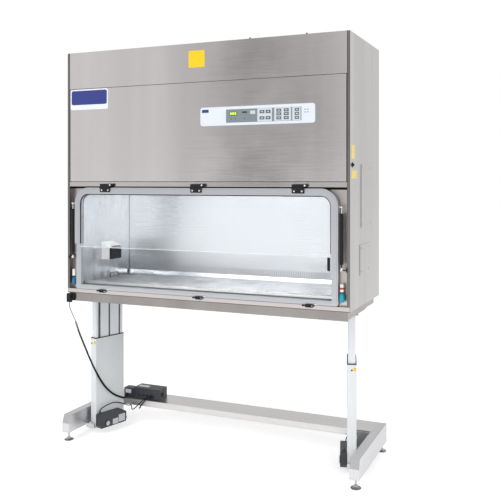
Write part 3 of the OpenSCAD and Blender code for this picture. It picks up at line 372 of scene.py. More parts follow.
class Finish:
    """A material with its nodes made by short calls."""

    def __init__(self, name):
        self.mat = bpy.data.materials.new(name)
        self.mat.use_nodes = True
        self.tree = self.mat.node_tree
        self.shader = self.tree.nodes["Principled BSDF"]

    def set(self, **sockets):
        """Sets the shader's own sockets, named with _ for a space."""
        for name, value in sockets.items():
            self.shader.inputs[name.replace("_", " ")].default_value = value
        return self

    def colour(self, socket):
        """Makes a node's output the base colour."""
        self.tree.links.new(socket, self.shader.inputs["Base Color"])

    def roughness(self, socket):
        """Makes a node's output the roughness."""
        self.tree.links.new(socket, self.shader.inputs["Roughness"])

    def noise(self, stretch, detail):
        """Noise in object space; stretch is how many features a metre along X, Y and Z."""
        mapping = self.tree.nodes.new("ShaderNodeMapping")
        mapping.inputs["Scale"].default_value = stretch
        noise = self.tree.nodes.new("ShaderNodeTexNoise")
        noise.inputs["Scale"].default_value = 1.0
        noise.inputs["Detail"].default_value = detail
        noise.inputs["Roughness"].default_value = NOISE_ROUGHNESS
        self.tree.links.new(self.where(), mapping.inputs["Vector"])
        self.tree.links.new(mapping.outputs["Vector"], noise.inputs["Vector"])
        return noise.outputs["Fac"]

    def where(self):
        """The object-space place of a point, in metres."""
        return self.tree.nodes.new("ShaderNodeTexCoord").outputs["Object"]

    def place(self, axis):
        """Object X, Y or Z in metres."""
        split = self.tree.nodes.new("ShaderNodeSeparateXYZ")
        self.tree.links.new(self.where(), split.inputs[0])
        return split.outputs[axis]

    def span(self, value, low, high, start=0.3, end=0.7):
        """Value mapped from start..end, where most of a noise lies, to low..high."""
        return map_range(self.tree, value, start, end, low, high)

    def math(self, operation, *values):
        """A Math node's output."""
        return math_node(self.tree, operation, *values)

    def mix(self, factor, a, b):
        """Colour mix; a and b are colours or sockets."""
        return colour_mix(self.tree, factor, a, b)

    def above(self, value, edge):
        """1 where value is over the edge, else 0."""
        return self.math("GREATER_THAN", value, edge)

    def below(self, value, edge):
        """1 where value is under the edge, else 0."""
        return self.math("LESS_THAN", value, edge)

    def base(self):
        """The output that gives the base colour so far."""
        return self.shader.inputs["Base Color"].links[0].from_socket

    def recolour(self, mask, colour):
        """Puts another colour over the base colour by the mask, 1 for all of it."""
        self.colour(self.mix(mask, self.base(), colour))

    def dim(self, mask, factor):
        """Multiplies the base colour by a factor where the mask is 1, so that its grain stays."""
        grey = self.mix(mask, WHITE, (factor, factor, factor, 1.0))
        self.colour(colour_mix(self.tree, 1.0, self.base(), grey, "MULTIPLY"))

    def bump(self, height, strength, distance, round_edge=0.0):
        """Bump from a height, over normals rounded at the edges where round_edge, in metres, is given."""
        node = self.tree.nodes.new("ShaderNodeBump")
        if round_edge:
            edge = self.tree.nodes.new("ShaderNodeBevel")
            edge.samples = BEVEL_SAMPLES
            edge.inputs["Radius"].default_value = round_edge
            self.tree.links.new(edge.outputs["Normal"], node.inputs["Normal"])
        node.inputs["Strength"].default_value = strength
        node.inputs["Distance"].default_value = distance
        self.tree.links.new(height, node.inputs["Height"])
        self.tree.links.new(node.outputs["Normal"], self.shader.inputs["Normal"])


# ------------------------------------------------------------------ kinds of finish
NOISE_ROUGHNESS = 0.55            # share of its strength that each finer layer of a noise keeps
BEVEL_SAMPLES = 4
# brushed sheet: features a metre along the grain and across it
GRAIN = (6, 900)
STREAKS = (0.9, 160)
WEAR_CLOUDS = (2.6, 2.6, 2.6)     # features a metre of the worn patches
UPRIGHT_BANDS = (5.5, 5.5, 0.25)  # and of the soft upright bands
WEAR_SHARE = 0.8                  # how strong the worn patches are beside the grain
SHADE_REACH = 2.5                 # grain depths to either side over which a shade runs, dark to light
GRAIN_RELIEF = (0.09, 0.0004)     # strength and depth of the grain's bump, the depth in metres
FOLD_RADIUS = 0.0014              # radius of the sheet's folded edges
# plain finishes: features a metre of their cloudy colour, and the depth of their grain
CLOUDS = (9, 9, 9)
GLASS_CLOUDS = (3, 3, 3)
PLAIN_RELIEF = 0.0003


def brushed(name, colour, grain, rough, depth, metallic=1.0, bands=0.0, streaks=0.5):
    """Brushed sheet. Its shade is the sum of a fine grain and faint streaks drawn out along one axis,
    a cloud of wear and, where bands isn't 0, soft upright bands. Its roughness follows the grain and
    the wear, and the light is rounded on its folded edges."""
    finish = Finish(name)
    fine = finish.noise(along(grain, *GRAIN), detail=3.0)
    streak = finish.noise(along(grain, *STREAKS), detail=2.0)
    worn = finish.noise(WEAR_CLOUDS, detail=3.0)
    shade = finish.math("ADD", finish.span(fine, -depth, depth),
                        finish.span(streak, -depth * streaks, depth * streaks))
    shade = finish.math("ADD", shade, finish.span(worn, -depth * WEAR_SHARE, depth * WEAR_SHARE))
    if bands:
        band = finish.noise(UPRIGHT_BANDS, detail=2.0)
        shade = finish.math("ADD", shade, finish.span(band, -bands, bands))
    reach = SHADE_REACH * depth + bands
    light = finish.span(shade, 0.0, 1.0, -reach, reach)
    finish.colour(finish.mix(light, scaled(colour, 1 - reach), scaled(colour, 1 + reach)))
    dullness = finish.math("ADD", fine, worn)
    finish.roughness(finish.span(dullness, rough - 0.05, rough + 0.07, start=0.7, end=1.3))
    finish.bump(fine, *GRAIN_RELIEF, FOLD_RADIUS)
    return finish.set(Metallic=metallic)


def plain(name, colour, rough, grain, bump, mottle=0.04):
    """Moulded or painted finish: fine grain in the surface and a slight change of colour."""
    finish = Finish(name)
    fine = finish.noise((grain,) * 3, detail=2.0)
    cloud = finish.noise(CLOUDS, detail=2.0)
    darker, lighter = scaled(colour, 1 - mottle), scaled(colour, 1 + mottle)
    finish.colour(finish.mix(finish.span(cloud, 0, 1), darker, lighter))
    finish.roughness(finish.span(cloud, rough - 0.04, rough + 0.05))
    finish.bump(fine, bump, PLAIN_RELIEF)
    return finish


def clear_pane(name, colour, alpha, rough=0.03):
    """Clear glass, seen through by its alpha, with a faintly clouded tint."""
    finish = Finish(name)
    cloud = finish.noise(GLASS_CLOUDS, detail=2.0)
    finish.colour(finish.mix(finish.span(cloud, 0, 1), scaled(colour, 0.97), colour))
    return finish.set(Alpha=alpha, Roughness=rough, IOR=1.5)


def lit(name, colour, strength):
    """A plain finish that gives off its own light."""
    return plain(name, colour, 0.3, 300, 0.02).set(Emission_Color=colour, Emission_Strength=strength)


# ------------------------------------------------------------------ the finishes
front_sheet = brushed("front brushed sheet", tone(212, 208, 207), "X", 0.17, 0.022, bands=0.05, streaks=0.2)
rail_sheet = brushed("rail brushed sheet", tone(198, 193, 191), "X", 0.2, 0.03)
jamb_sheet = brushed("jamb brushed sheet", tone(190, 184, 179), "Z", 0.34, 0.03)
side_sheet = brushed("side brushed sheet", tone(187, 185, 183), "Z", 0.30, 0.06, bands=0.12, streaks=0.9)
# the apron's steel is painted darker than the front's: painted reflection of the dim floor it mirrors
apron_sheet_painted_dark = brushed("apron brushed sheet", tone(152, 147, 144), "X", 0.24, 0.03, bands=0.08)
inner_sheet = brushed("chamber polished sheet", tone(226, 229, 232), "Z", 0.27, 0.015, streaks=0.2)
rear_sheet = brushed("rear wall polished sheet", tone(236, 239, 242), "X", 0.3, 0.01, streaks=0.1)
tray_sheet = brushed("tray polished sheet", tone(233, 233, 234), "X", 0.27, 0.02, metallic=0.6)
beam_sheet = brushed("stand brushed sheet", tone(206, 205, 207), "Y", 0.32, 0.07, streaks=0.8)
stretcher_sheet = brushed("stretcher brushed sheet", tone(212, 210, 209), "X", 0.3, 0.06)
satin_bar = brushed("satin aluminium bar", tone(193, 195, 199), "X", 0.38, 0.02)
bright_steel = brushed("polished steel", tone(215, 215, 216), "Z", 0.18, 0.02)
handle_steel = brushed("bent handle steel", tone(122, 122, 124), "X", 0.2, 0.02)
foot_steel = brushed("dull foot steel", tone(128, 128, 130), "Z", 0.34, 0.03)
screen_steel = brushed("perforated screen sheet", tone(206, 207, 210), "X", 0.4, 0.03)
zinc_sheet = brushed("galvanised sheet", tone(170, 173, 176), "X", 0.4, 0.06)
column_paint = plain("light grey column paint", tone(229, 233, 234), 0.4, 700, 0.06, mottle=0.02)
stage_alloy = brushed("light anodised extrusion", tone(226, 229, 232), "Z", 0.42, 0.02, 0.4)
black_moulded = plain("black moulded plastic", tone(30, 31, 34), 0.42, 900, 0.12)
motor_shell = plain("dark grey motor shell", tone(54, 55, 60), 0.45, 900, 0.12)
black_gloss = plain("gloss black paint", tone(22, 22, 24), 0.22, 300, 0.03)
rubber = plain("black rubber", tone(18, 18, 19), 0.65, 700, 0.1)
jacket = plain("cable jacket", tone(22, 22, 23), 0.5, 500, 0.06)
white_moulded = plain("white moulded plastic", tone(235, 235, 232), 0.4, 700, 0.06)
film = plain("key pad film", tone(222, 228, 236), 0.3, 500, 0.04, mottle=0.015)
pane = clear_pane("clear safety glass", tone(240, 245, 250), 0.12)
paper = plain("pleated filter paper", tone(240, 240, 235), 0.85, 500, 0.2)
tube_white = lit("white lamp tube", tone(250, 252, 255), 18.0)
knob_blue = plain("blue hand wheel", tone(38, 110, 160), 0.35, 500, 0.05)
knob_teal = plain("teal hand wheel", tone(10, 160, 190), 0.35, 500, 0.05)
plate_white = plain("white bare plate", tone(228, 231, 236), 0.4, 500, 0.03, mottle=0.015)
plate_blue = plain("blue bare plate", tone(46, 56, 128), 0.38, 500, 0.03, mottle=0.03)
plate_yellow = plain("yellow bare plate", tone(247, 200, 22), 0.42, 500, 0.03, mottle=0.02)
sticker_pale = plain("pale yellow sticker", tone(236, 214, 130), 0.5, 500, 0.03, mottle=0.03)
label_grey = plain("light grey label", tone(205, 208, 212), 0.5, 500, 0.03, mottle=0.03)
mark_grey = plain("grey pad print", tone(120, 126, 132), 0.4, 500, 0.03)
dark_window = plain("dark display window", tone(38, 42, 40), 0.18, 500, 0.01)
lit_green = lit("yellow green segment", tone(190, 225, 70), 0.9)
band_red = plain("red ring", tone(196, 52, 44), 0.4, 500, 0.03)
# painted shade for the floors of the inner columns' slots
slot_shade_grey = plain("dark grey painted slot shade", tone(84, 88, 92), 0.5, 500, 0.06)
ground_edge = plain("ground glass edge", tone(226, 232, 236), 0.6, 900, 0.1, mottle=0.02)

for dull in (black_gloss, black_moulded, rubber, jacket):
    dull.set(Specular_IOR_Level=0.25)

# ------------------------------------------------------------------ colours and painted shades kept to a place, in metres
SIDE_FOLD = FRONT + 0.0024        # the side sheets' front folds end here; in front of this they carry painted shade
SIDE_RETURN = HALF_WIDTH - 0.0155   # their returns lie inside this and carry painted shade; the same darkening falls on the back and the roof
BASE_JOINT = BASE + 0.004         # painted shade lies up to here on the base pan, in the seam over the carrying frame
PAD_RIM = 0.0085                  # top of the levelling feet's dark pads
WINDOW_GAP = 1.702                # the jamb plate is painted black from here up: painted shadow in the gap over the window
SEAL_FOOT = 1.075                 # the jamb seal's bottom run is coloured grey below this
STRUT_FOOT = 1.22                 # the gas struts' white lower ends lie between these heights
STRUT_CAP = 1.2585
REFLECTION_BAND_X = -0.60                   # middle of the back wall's upright band of painted reflection, darker
REFLECTION_BAND_HALF = 0.13                 # distance over which that painted reflection fades to nothing
SHADE_FULL_X = -0.9                   # X up to which the back wall and the tray carry their full painted shade
WALL_SHADE_END_X = -0.1                 # X from which the back wall has no painted shade
TRAY_SHADE_END_X = 0.0                  # X from which the tray has no painted shade
WALL_FOOT, WALL_HEAD = 1.12, 1.42   # heights between which the back wall's painted shade fades out
SIDES_FOOT, SIDES_HEAD = 1.08, 1.40   # the same for the painted shade on the chamber's other polished sheets

# painted shade: the side sheets darker on their front folds and returns, which lie in shadow; the back and
# the roof are darkened with them
side_sheet.dim(side_sheet.below(side_sheet.place("Y"), SIDE_FOLD), factor=0.42)
from_middle = side_sheet.math("ABSOLUTE", side_sheet.place("X"))
side_sheet.dim(side_sheet.below(from_middle, SIDE_RETURN), factor=0.42)
# painted shade: a dark line along the seam where the base pan stands on the carrying frame
rail_sheet.dim(rail_sheet.below(rail_sheet.place("Z"), BASE_JOINT), factor=0.3)
foot_steel.recolour(foot_steel.above(foot_steel.place("Z"), PAD_RIM), tone(186, 186, 188))
# painted shadow: the jamb plate black in the gap over the window
jamb_sheet.recolour(jamb_sheet.above(jamb_sheet.place("Z"), WINDOW_GAP), tone(30, 30, 30))
across_wall = rear_sheet.place("X")
# painted reflection: a darker upright band down the back wall, a dark thing mirrored in it
from_reflection_band = rear_sheet.math("ABSOLUTE", rear_sheet.math("ADD", across_wall, -REFLECTION_BAND_X))
rear_sheet.dim(rear_sheet.span(from_reflection_band, 1.0, 0.0, 0.0, REFLECTION_BAND_HALF), factor=0.88)
# painted shade: the back wall darker low down towards the left
low_left_shade = rear_sheet.math("MULTIPLY", rear_sheet.span(across_wall, 1.0, 0.0, SHADE_FULL_X, WALL_SHADE_END_X),
                           rear_sheet.span(rear_sheet.place("Z"), 1.0, 0.0, WALL_FOOT, WALL_HEAD))
rear_sheet.dim(low_left_shade, factor=0.72)
# painted shade: the tray darker towards the left
tray_sheet.dim(tray_sheet.span(tray_sheet.place("X"), 1.0, 0.0, SHADE_FULL_X, TRAY_SHADE_END_X), factor=0.4)
# painted shade: the chamber's polished sheets darker towards the foot
inner_sheet.dim(inner_sheet.span(inner_sheet.place("Z"), 1.0, 0.0, SIDES_FOOT, SIDES_HEAD), factor=0.66)
# the rubber is coloured grey below this height, on the jamb seal's bottom run
grey_seal_run = rubber.math("MULTIPLY", rubber.below(rubber.place("Z"), SEAL_FOOT), 0.8)
rubber.recolour(grey_seal_run, tone(120, 120, 120))
white_end = black_gloss.math("MULTIPLY", black_gloss.above(black_gloss.place("Z"), STRUT_FOOT),
                             black_gloss.below(black_gloss.place("Z"), STRUT_CAP))
black_gloss.recolour(white_end, tone(222, 222, 220))
# key pad: grey zone, pale fields and dark keys, told apart by how far they stand out
PAD_STEPS = ((0.0033, tone(126, 136, 142)), (0.0038, tone(205, 212, 219)), (0.0043, tone(96, 102, 106)))
for step, shade in PAD_STEPS:
    film.recolour(film.below(film.place("Y"), FRONT - step), shade)

FINISH = {
    front_sheet: "service_panel upper_fascia",
    rail_sheet: "trim_rail base_pan",
    jamb_sheet: "jamb_plate",
    side_sheet: "side_panel_left side_panel_right side_covers back_panel roof_panel",
    apron_sheet_painted_dark: "support_frame",
    inner_sheet: "chamber_walls filter_deck diffuser",
    rear_sheet: "rear_baffle",
    tray_sheet: "work_tray front_grille",
    handle_steel: "tray_handles",
    beam_sheet: "foot_beam_left foot_beam_right",
    stretcher_sheet: "stretcher",
    satin_bar: "window_frame lower_frame",
    bright_steel: "strut_rod_left strut_rod_right latch_bases",
    foot_steel: "levelling_foot_front_left levelling_foot_front_right "
                "levelling_foot_rear_left levelling_foot_rear_right",
    zinc_sheet: "fan_housing fan_impeller",
    column_paint: "outer_columns",
    stage_alloy: "inner_columns",
    black_moulded: "column_caps hinge_brackets hinge_leaves latch_left "
                   "latch_middle latch_right socket_lid_left socket_lid_right handset handset_rocker",
    motor_shell: "motor_housings control_box",
    black_gloss: "strut_cylinder_left strut_cylinder_right",
    rubber: "window_gasket jamb_seal",
    jacket: "motor_cables handset_cord",
    white_moulded: "tap_bodies socket_boxes",
    film: "control_panel",
    pane: "window_glass",
    paper: "filters",
    tube_white: "lamps",
    knob_blue: "tap_knob_left",
    knob_teal: "tap_knob_right",
}


def wear(piece, finish):
    """Gives a piece one finish in place of all it had."""
    piece.data.materials.clear()
    piece.data.materials.append(finish.mat)
    return piece


for finish, names in FINISH.items():
    for name in names.split():
        wear(nodes[name], finish)


def fit(name, body, finish, parts, smooth=False):
    """One piece from several skins, with its finish, riding a body."""
    piece = wear(joined(name, parts, smooth), finish)
    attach(piece, body)
    return piece


# ------------------------------------------------------------------ bare plates and prints on the front
# boxes in millimetres: left, right, low, high; what a plate stands out by is negative behind the front
BADGE = (-951, -653, 2225, 2360)
BADGE_FIELD = (-942, -662, 2258, 2352)
BADGE_FACE = 1.2
FASCIA_PLATE = (-57, 53, 2456, 2559)
fit("badge_plate", "service_panel", plate_white, [tile(on_front, BADGE, 0, BADGE_FACE, radius=14)])
fit("badge_inset", "service_panel", plate_blue, [tile(on_front, BADGE_FIELD, BADGE_FACE, 1.6, radius=12)])
fit("fascia_plate", "cabinet", plate_yellow, [tile(on_front, FASCIA_PLATE, 0, 0.8, radius=5)])

# the key pad's faces: the film, the grey zone on it, the windows on that, and the keys
FILM_FACE, ZONE_FACE, WINDOW_FACE, KEY_FACE = 3, 3.6, 3.9, 4.6
PAD_PATCH = (37, 83, 2171, 2190)
PAD_WINDOW = (224, 273, 2149, 2171)
PAD_DISPLAY = (360, 393, 2153, 2174)
PAD_BAR = (307, 340, 2162, 2170)
SEGMENT_XS, SEGMENT_WIDTH, SEGMENT_LOW, SEGMENT_HIGH = (228, 243, 258), 10.5, 2152.5, 2167.5
SEGMENTS = [(x, x + SEGMENT_WIDTH, SEGMENT_LOW, SEGMENT_HIGH) for x in SEGMENT_XS]
DOT_XS, DOT_Z = (236, 262, 323), 2128
LIGHT_SPOTS = [(x, z) for x in (708, 725) for z in (2168.5, 2153)]
LIGHT_HALF = (6, 2.2)
KEY_SPOTS = [(x, z) for x in (437.5, 476.5) for z in (2127.5, 2164.5)]
KEY_SPOTS += [(x, z) for x in (544.5, 591.5) for z in (2124, 2147.5, 2169.5)]
KEY_SPOTS += [(657.5, z) for z in (2123.5, 2146.5, 2170)]
KEY_MARK_HALF = (7, 2.6)
fit("pad_patch", "service_panel", plate_blue, [tile(on_front, PAD_PATCH, FILM_FACE, 3.3, radius=2)])
fit("pad_window", "service_panel", dark_window,
    [tile(on_front, PAD_WINDOW, ZONE_FACE, WINDOW_FACE, radius=2)])
fit("pad_segments", "service_panel", lit_green,
    [tile(on_front, box, WINDOW_FACE, 4.1, radius=1.5, edge=0.1) for box in SEGMENTS])
fit("pad_display", "service_panel", label_grey,
    [tile(on_front, PAD_DISPLAY, ZONE_FACE, WINDOW_FACE, radius=2)])
fit("pad_bar", "service_panel", dark_window,
    [tile(on_front, PAD_BAR, ZONE_FACE, WINDOW_FACE, radius=1.5)])
fit("pad_dots", "service_panel", dark_window,
    [dome(on_front, x, DOT_Z, ZONE_FACE, height=0.4, radius=3) for x in DOT_XS])
fit("pad_lights", "service_panel", mark_grey,
    [tile(on_front, patch(spot, LIGHT_HALF), FILM_FACE, 3.35, radius=1.5, edge=0.1) for spot in LIGHT_SPOTS])
fit("key_marks", "service_panel", label_grey,
    [tile(on_front, patch(spot, KEY_MARK_HALF), KEY_FACE, 4.8, radius=2.2, edge=0.1) for spot in KEY_SPOTS])

# ------------------------------------------------------------------ small fittings of the cabinet
HINGE_XS = (-666, 2, 668.5)
LEAF_SCREWS, LEAF_Z, LEAF_FACE = (-24, 24), 1693, 20
CLAMP_SHIFT, CLAMP_Z, CLAMP_FACE = 44.5, 1726, 28
fit("hinge_screw_heads", "window", bright_steel,
    [dome(on_front, x + dx, LEAF_Z, LEAF_FACE, height=2.6, radius=6)
     for x in HINGE_XS for dx in LEAF_SCREWS], True)
fit("clamp_knob_discs", "cabinet", plate_white,
    [dome(on_front, x + CLAMP_SHIFT, CLAMP_Z, CLAMP_FACE, height=0.4, radius=5.5) for x in HINGE_XS])

SIDE_FACE = 1000 * HALF_WIDTH     # the side sheet's open face, from the cabinet's middle
STICKERS = ((30, 101, 1879, 1960), (30, 145, 1766, 1815))
GLAND = (50, 1845)
SIDE_SCREWS = ((88, 2345), (684, 2346), (684, 1888), (60, 1480), (684, 1400))
fit("side_stickers", "cabinet", sticker_pale,
    [tile(on_side, box, SIDE_FACE, SIDE_FACE + 0.5, radius=3) for box in STICKERS])
fit("side_gland", "cabinet", black_moulded,
    [dome(on_side, *GLAND, SIDE_FACE, height=5, radius=15),
     dome(on_side, *GLAND, SIDE_FACE + 4, height=8, radius=8)], True)
fit("side_screws", "cabinet", bright_steel,
    [dome(on_side, *spot, SIDE_FACE, height=2.4, radius=5.5, sides=16)
     for spot in SIDE_SCREWS], True)

# ------------------------------------------------------------------ small fittings of the stand
STUDS = ((1, 0, 623), (-1, 15, 620))      # side of the stand, place across the column, height
FLAGS = ((1, (9, 26, 618, 640)), (-1, (-26, -5, 619, 640)))
fit("column_studs", "base", black_moulded,
    [dome(column_front(side), across, up, 0, height=3, radius=5)
     for side, across, up in STUDS], True)
fit("column_stickers", "base", plate_yellow,
    [tile(column_front(side), box, 0, 0.4, radius=2) for side, box in FLAGS])

# painted shade: dark strips on the floors of the slots down both wide faces of the inner columns, where the
# slots lie in shadow
STAGE_START, STAGE_DEPTH = 7.25, 241      # how far behind the front face an inner column starts, its depth
SLOTS = ((0.12, 9.6), (0.49, 7.1), (0.87, 7.1))   # share of that depth, and half the slot's width
SLOT_FOOT, SLOT_TOP = 484, 945.0
SLOT_FLOOR, SLOT_SHADE_FACE = 13.6, 15.2       # from the column's middle plane
SLOT_RUNS = [(STAGE_START + STAGE_DEPTH * share, half) for share, half in SLOTS]
fit("column_slot_painted_shade", "cabinet", slot_shade_grey,
    [tile(slot_face(side, way), (back - half, back + half, SLOT_FOOT, SLOT_TOP),
          SLOT_FLOOR, SLOT_SHADE_FACE, radius=0.5)
     for side in (-1, 1) for way in (-1, 1) for back, half in SLOT_RUNS])

# the left motor's two labels and disc, and the control box's label in front and on top
MOTOR_LABELS = ((116, 166, 42, 80), (170, 228, 46, 98))
MOTOR_FACE, DISC_FACE = 70, 73
DISC_SPOT = (72, 62)
BOX_FRONT, BOX_FRONT_LABEL = -532, (-862, -816, 204, 232)
BOX_TOP, BOX_TOP_LABEL = 252, (-777, -692, 566, 602)
fit("motor_labels", "base", label_grey,
    [tile(motor_face(-1), box, MOTOR_FACE, MOTOR_FACE + 0.5, radius=2) for box in MOTOR_LABELS])
fit("motor_disc", "base", label_grey,
    [dome(motor_face(-1), *DISC_SPOT, DISC_FACE, height=1.5, radius=16.5, sides=32)], True)
fit("box_labels", "base", plate_white,
    [tile(on_front, BOX_FRONT_LABEL, BOX_FRONT, -531.4, radius=2),
     tile(on_top, BOX_TOP_LABEL, BOX_TOP, 252.5, radius=2)])

# ------------------------------------------------------------------ taps, seals and the chamber's trim
TAP_X, TAP_Y, TAP_RADIUS = 926, 4, 11.4
RING = (1135, 1146)               # lower and upper end of the right tap's ring
COLLAR = (1113, 1120)             # and of the collar over each hand wheel
fit("tap_ring", "cabinet", band_red, [collar(TAP_X, TAP_Y, *RING, TAP_RADIUS)], True)
fit("tap_collars", "cabinet", black_moulded,
    [collar(side * TAP_X, TAP_Y, *COLLAR, TAP_RADIUS) for side in (-1, 1)], True)

SEAL_STRIP = (-948, 948, 1746.2, 1786)    # closes the gap under the service panel from behind and stops the lamps' light; its black is painted shade for the seam
SCREEN = (-896, 896, 1072, 1150)          # perforated screen at the foot of the back wall
LIP = (-889, 889, TRAY_MM + 0.4, TRAY_MM + 27)
CORNER_X, JOINT_HALF = 898.6, 1.2         # sealant down the chamber's two rear corners
JOINTS = [(side * CORNER_X - JOINT_HALF, side * CORNER_X + JOINT_HALF, 1071, 1716) for side in (-1, 1)]
PANE_FOOT = (-864.5, 864.5, 1315.3, 1318)   # the ground lower edge of the window's pane
fit("panel_seal_strip", "cabinet", rubber, [tile(on_front, SEAL_STRIP, -35, -22, radius=0.3)])
fit("baffle_screen", "cabinet", screen_steel, [tile(on_front, SCREEN, -645, -643, radius=2)])
fit("tray_rear_lip", "tray", inner_sheet,
    [tile(lip_plane, LIP, -1.2, 0, radius=1, edge=0.3)])
fit("corner_joints", "cabinet", mark_grey,
    [tile(on_front, box, -639.6, -637.6, radius=0.5) for box in JOINTS])
fit("glass_ground_edge", "window", ground_edge,
    [tile(on_front, PANE_FOOT, -2.2, 4.2, radius=0.3, edge=0.2)])

# raised bead round the tray, rolled from the sheet's edge
BEAD_RUN = (-895, 895, 156, 635)
BEAD_HEIGHT = TRAY_MM + 0.6
BEAD_RADIUS = 0.0022              # metres, as the path is
bead_x, bead_y = rounded(*BEAD_RUN, radius=14, steps=8)
bead_path = on_top(bead_x, bead_y, np.full(len(bead_x), BEAD_HEIGHT))
bead_points, bead_faces = closed_bead(bead_path, BEAD_RADIUS)
tray_bead = wear(mesh_piece("tray_edge_bead", bead_points, bead_faces), tray_sheet)
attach(tray_bead, "tray")

# ------------------------------------------------------------------ cords
HANDSET_LEAD = [(-948, -18, 944), (-948, -18, 934), (-948, -18, 922),
                (-941, -12, 890), (-930, 0, 850), (-922, 12, 818)]
HANDSET_COIL = [(-922, 12, 818), (-915, 40, 740), (-908, 90, 640), (-900, 150, 525), (-888, 205, 425),
                (-868, 276, 316), (-846, 350, 244), (-822, 430, 200), (-818, 480, 196), (-838, 508, 200),
                (-846, 532, 204)]
MOTOR_LEADS = {
    "motor_lead_left": [(-873, 225, 150), (-872, 228, 160), (-862, 262, 178), (-838, 345, 186),
                        (-817, 410, 166), (-794, 452, 142), (-776, 472, 138), (-776, 482, 106),
                        (-752, 490, 120), (-704, 494, 168), (-662, 506, 194), (-657, 522, 192),
                        (-657, 532, 192)],
    "motor_lead_right": [(804, 467, 56), (799, 484, 58), (806, 494, 84), (814, 495, 116),
                         (830, 495, 142), (862, 495, 152), (904, 495, 150), (930, 495, 136),
                         (908, 495, 98), (890, 495, 78), (882, 500, 70), (868, 530, 96),
                         (856, 556, 140), (854, 560, 171)],
    "box_lead": [(-740, 560, 171), (-740, 556, 140), (-736, 530, 112), (-724, 498, 118),
                 (-690, 494, 164), (-644, 504, 198), (-632, 520, 193), (-632, 532, 193)],
}
CURL_RADIUS = 0.0048              # metres, from the coil's centre line to the cord's
CURL_PITCH = 0.0066

lead = spline([at(*p) for p in HANDSET_LEAD], steps=8)
coil = curly(spline([at(*p) for p in HANDSET_COIL], steps=8), CURL_RADIUS, CURL_PITCH)
handset_path = np.vstack([lead[:-1], coil])
handset_cord = wear(tube("handset_curly_cord", handset_path, diameter=0.0042, sides=6), jacket)
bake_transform(handset_cord)
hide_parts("handset_cord")
for name, route in MOTOR_LEADS.items():
    path = spline([at(*p) for p in route], steps=6)
    ob = wear(tube(name, path, diameter=0.007, sides=12), jacket)
    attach(ob, "base")
    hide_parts("motor_cables")

# ------------------------------------------------------------------ floor, room, lamps, camera
FLOOR_HALF = 40                   # metres
FLOOR_WHITE = (0.85, 0.85, 0.85, 1)
FLOOR_LIFT = 0.5                  # strength of the floor's own light
ROOM_LIGHT = (0.63, 0.634, 0.642, 1)      # what the room gives to matt surfaces
# the room as polished steel mirrors it: a bearing in degrees, from straight out in front of the
# cabinet round to the user's left, and the grey there
ROOM_START, ROOM_END = -30, 60
ROOM_GREYS = ((-30, 1.0), (5, 0.95), (14, 0.80), (19, 0.52), (24, 0.22), (27, 0.66), (30, 1.0), (40, 0.78))


def seen(tree):
    """1 for camera, glossy and transmission rays, else 0."""
    ray = tree.nodes.new("ShaderNodeLightPath").outputs
    camera_or_glossy = math_node(tree, "ADD", ray["Is Camera Ray"], ray["Is Glossy Ray"])
    return math_node(tree, "ADD", camera_or_glossy, ray["Is Transmission Ray"], clamp=True)


def pale_floor():
    """Matt white that keeps its shadows, with some light of its own that only the camera, mirrors and
    glass see."""
    material = bpy.data.materials.new("pale floor")
    material.use_nodes = True
    tree = material.node_tree
    tree.nodes.clear()
    diffuse = tree.nodes.new("ShaderNodeBsdfDiffuse")
    diffuse.inputs["Color"].default_value = FLOOR_WHITE
    glow = tree.nodes.new("ShaderNodeEmission")
    tree.links.new(math_node(tree, "MULTIPLY", seen(tree), FLOOR_LIFT), glow.inputs["Strength"])
    both = tree.nodes.new("ShaderNodeAddShader")
    tree.links.new(diffuse.outputs[0], both.inputs[0])
    tree.links.new(glow.outputs[0], both.inputs[1])
    out = tree.nodes.new("ShaderNodeOutputMaterial")
    tree.links.new(both.outputs[0], out.inputs[0])
    return material


def mirrored_room(tree):
    """The grey of the room by bearing: the angle whose tangent is -X over -Y of the direction."""
    direction = tree.nodes.new("ShaderNodeSeparateXYZ")
    tree.links.new(tree.nodes.new("ShaderNodeTexCoord").outputs["Generated"], direction.inputs[0])
    leftwards = math_node(tree, "MULTIPLY", direction.outputs["X"], -1.0)
    outwards = math_node(tree, "MULTIPLY", direction.outputs["Y"], -1.0)
    bearing = math_node(tree, "ARCTAN2", leftwards, outwards)
    share = map_range(tree, bearing, math.radians(ROOM_START), math.radians(ROOM_END), 0.0, 1.0)
    shade = tree.nodes.new("ShaderNodeValToRGB")
    shade.color_ramp.interpolation = "B_SPLINE"
    ramp = shade.color_ramp.elements
    while len(ramp) < len(ROOM_GREYS):
        ramp.new(0.5)
    for stop, (degrees, grey) in zip(ramp, ROOM_GREYS):
        stop.position = (degrees - ROOM_START) / (ROOM_END - ROOM_START)
        stop.color = (grey, grey, grey, 1)
    tree.links.new(share, shade.inputs["Fac"])
    return shade.outputs["Color"]


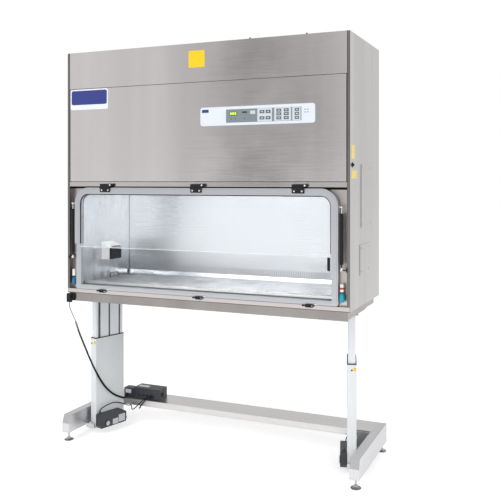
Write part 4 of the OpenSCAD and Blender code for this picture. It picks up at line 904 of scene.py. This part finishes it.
def studio_world():
    """A white room to look at, mirrored with one darker stretch, that lights matt surfaces softly."""
    world = bpy.data.worlds.new("studio")
    world.use_nodes = True
    tree = world.node_tree
    glossy = tree.nodes.new("ShaderNodeLightPath").outputs["Is Glossy Ray"]
    not_glossy = math_node(tree, "SUBTRACT", 1.0, glossy)
    looked_at = colour_mix(tree, not_glossy, mirrored_room(tree), WHITE)
    light = colour_mix(tree, seen(tree), ROOM_LIGHT, looked_at)
    tree.links.new(light, tree.nodes["Background"].inputs["Color"])
    return world


def soft_box(name, place, target, size, watts):
    """A rectangular area lamp that looks from its place at the target, unseen in the metal."""
    data = bpy.data.lights.new(name, "AREA")
    data.shape = "RECTANGLE"
    data.size, data.size_y = size
    data.energy = watts
    lamp = bpy.data.objects.new(name, data)
    bpy.context.scene.collection.objects.link(lamp)
    lamp.location = place
    lamp.rotation_euler = (Vector(target) - Vector(place)).to_track_quat("-Z", "Y").to_euler()
    lamp.visible_glossy = False


def level_camera(place, turn, lens, rise):
    """A level camera turned about the upright, with its lens in millimetres and its upward shift."""
    data = bpy.data.cameras.new("camera")
    data.sensor_width = 36.0
    data.lens = lens
    data.shift_y = rise
    data.clip_end = 200
    camera = bpy.data.objects.new("camera", data)
    camera.location = place
    camera.rotation_euler = (math.radians(90), 0, math.radians(turn))
    bpy.context.scene.collection.objects.link(camera)
    return camera


FLOOR_CORNERS = [(FLOOR_HALF * sx, FLOOR_HALF * sy, 0) for sx, sy in ((-1, -1), (1, -1), (1, 1), (-1, 1))]
floor = mesh_piece("studio_floor", FLOOR_CORNERS, [(0, 1, 2, 3)], False)
floor.data.materials.append(pale_floor())
bpy.context.scene.world = studio_world()
soft_box("key light", place=(-2.6, -4.2, 4.6), target=(0, 0, 1.5), size=(3.2, 3.2), watts=150)
soft_box("fill light", place=(4.2, -2.6, 3.2), target=(0.4, 0, 1.3), size=(3.0, 3.0), watts=80)
bpy.context.scene.camera = level_camera(place=(2.0956, -4.36725, 1.7535), turn=23.325,
                                        lens=52.709, rise=-0.13744)
bpy.context.scene.view_settings.view_transform = "Standard"
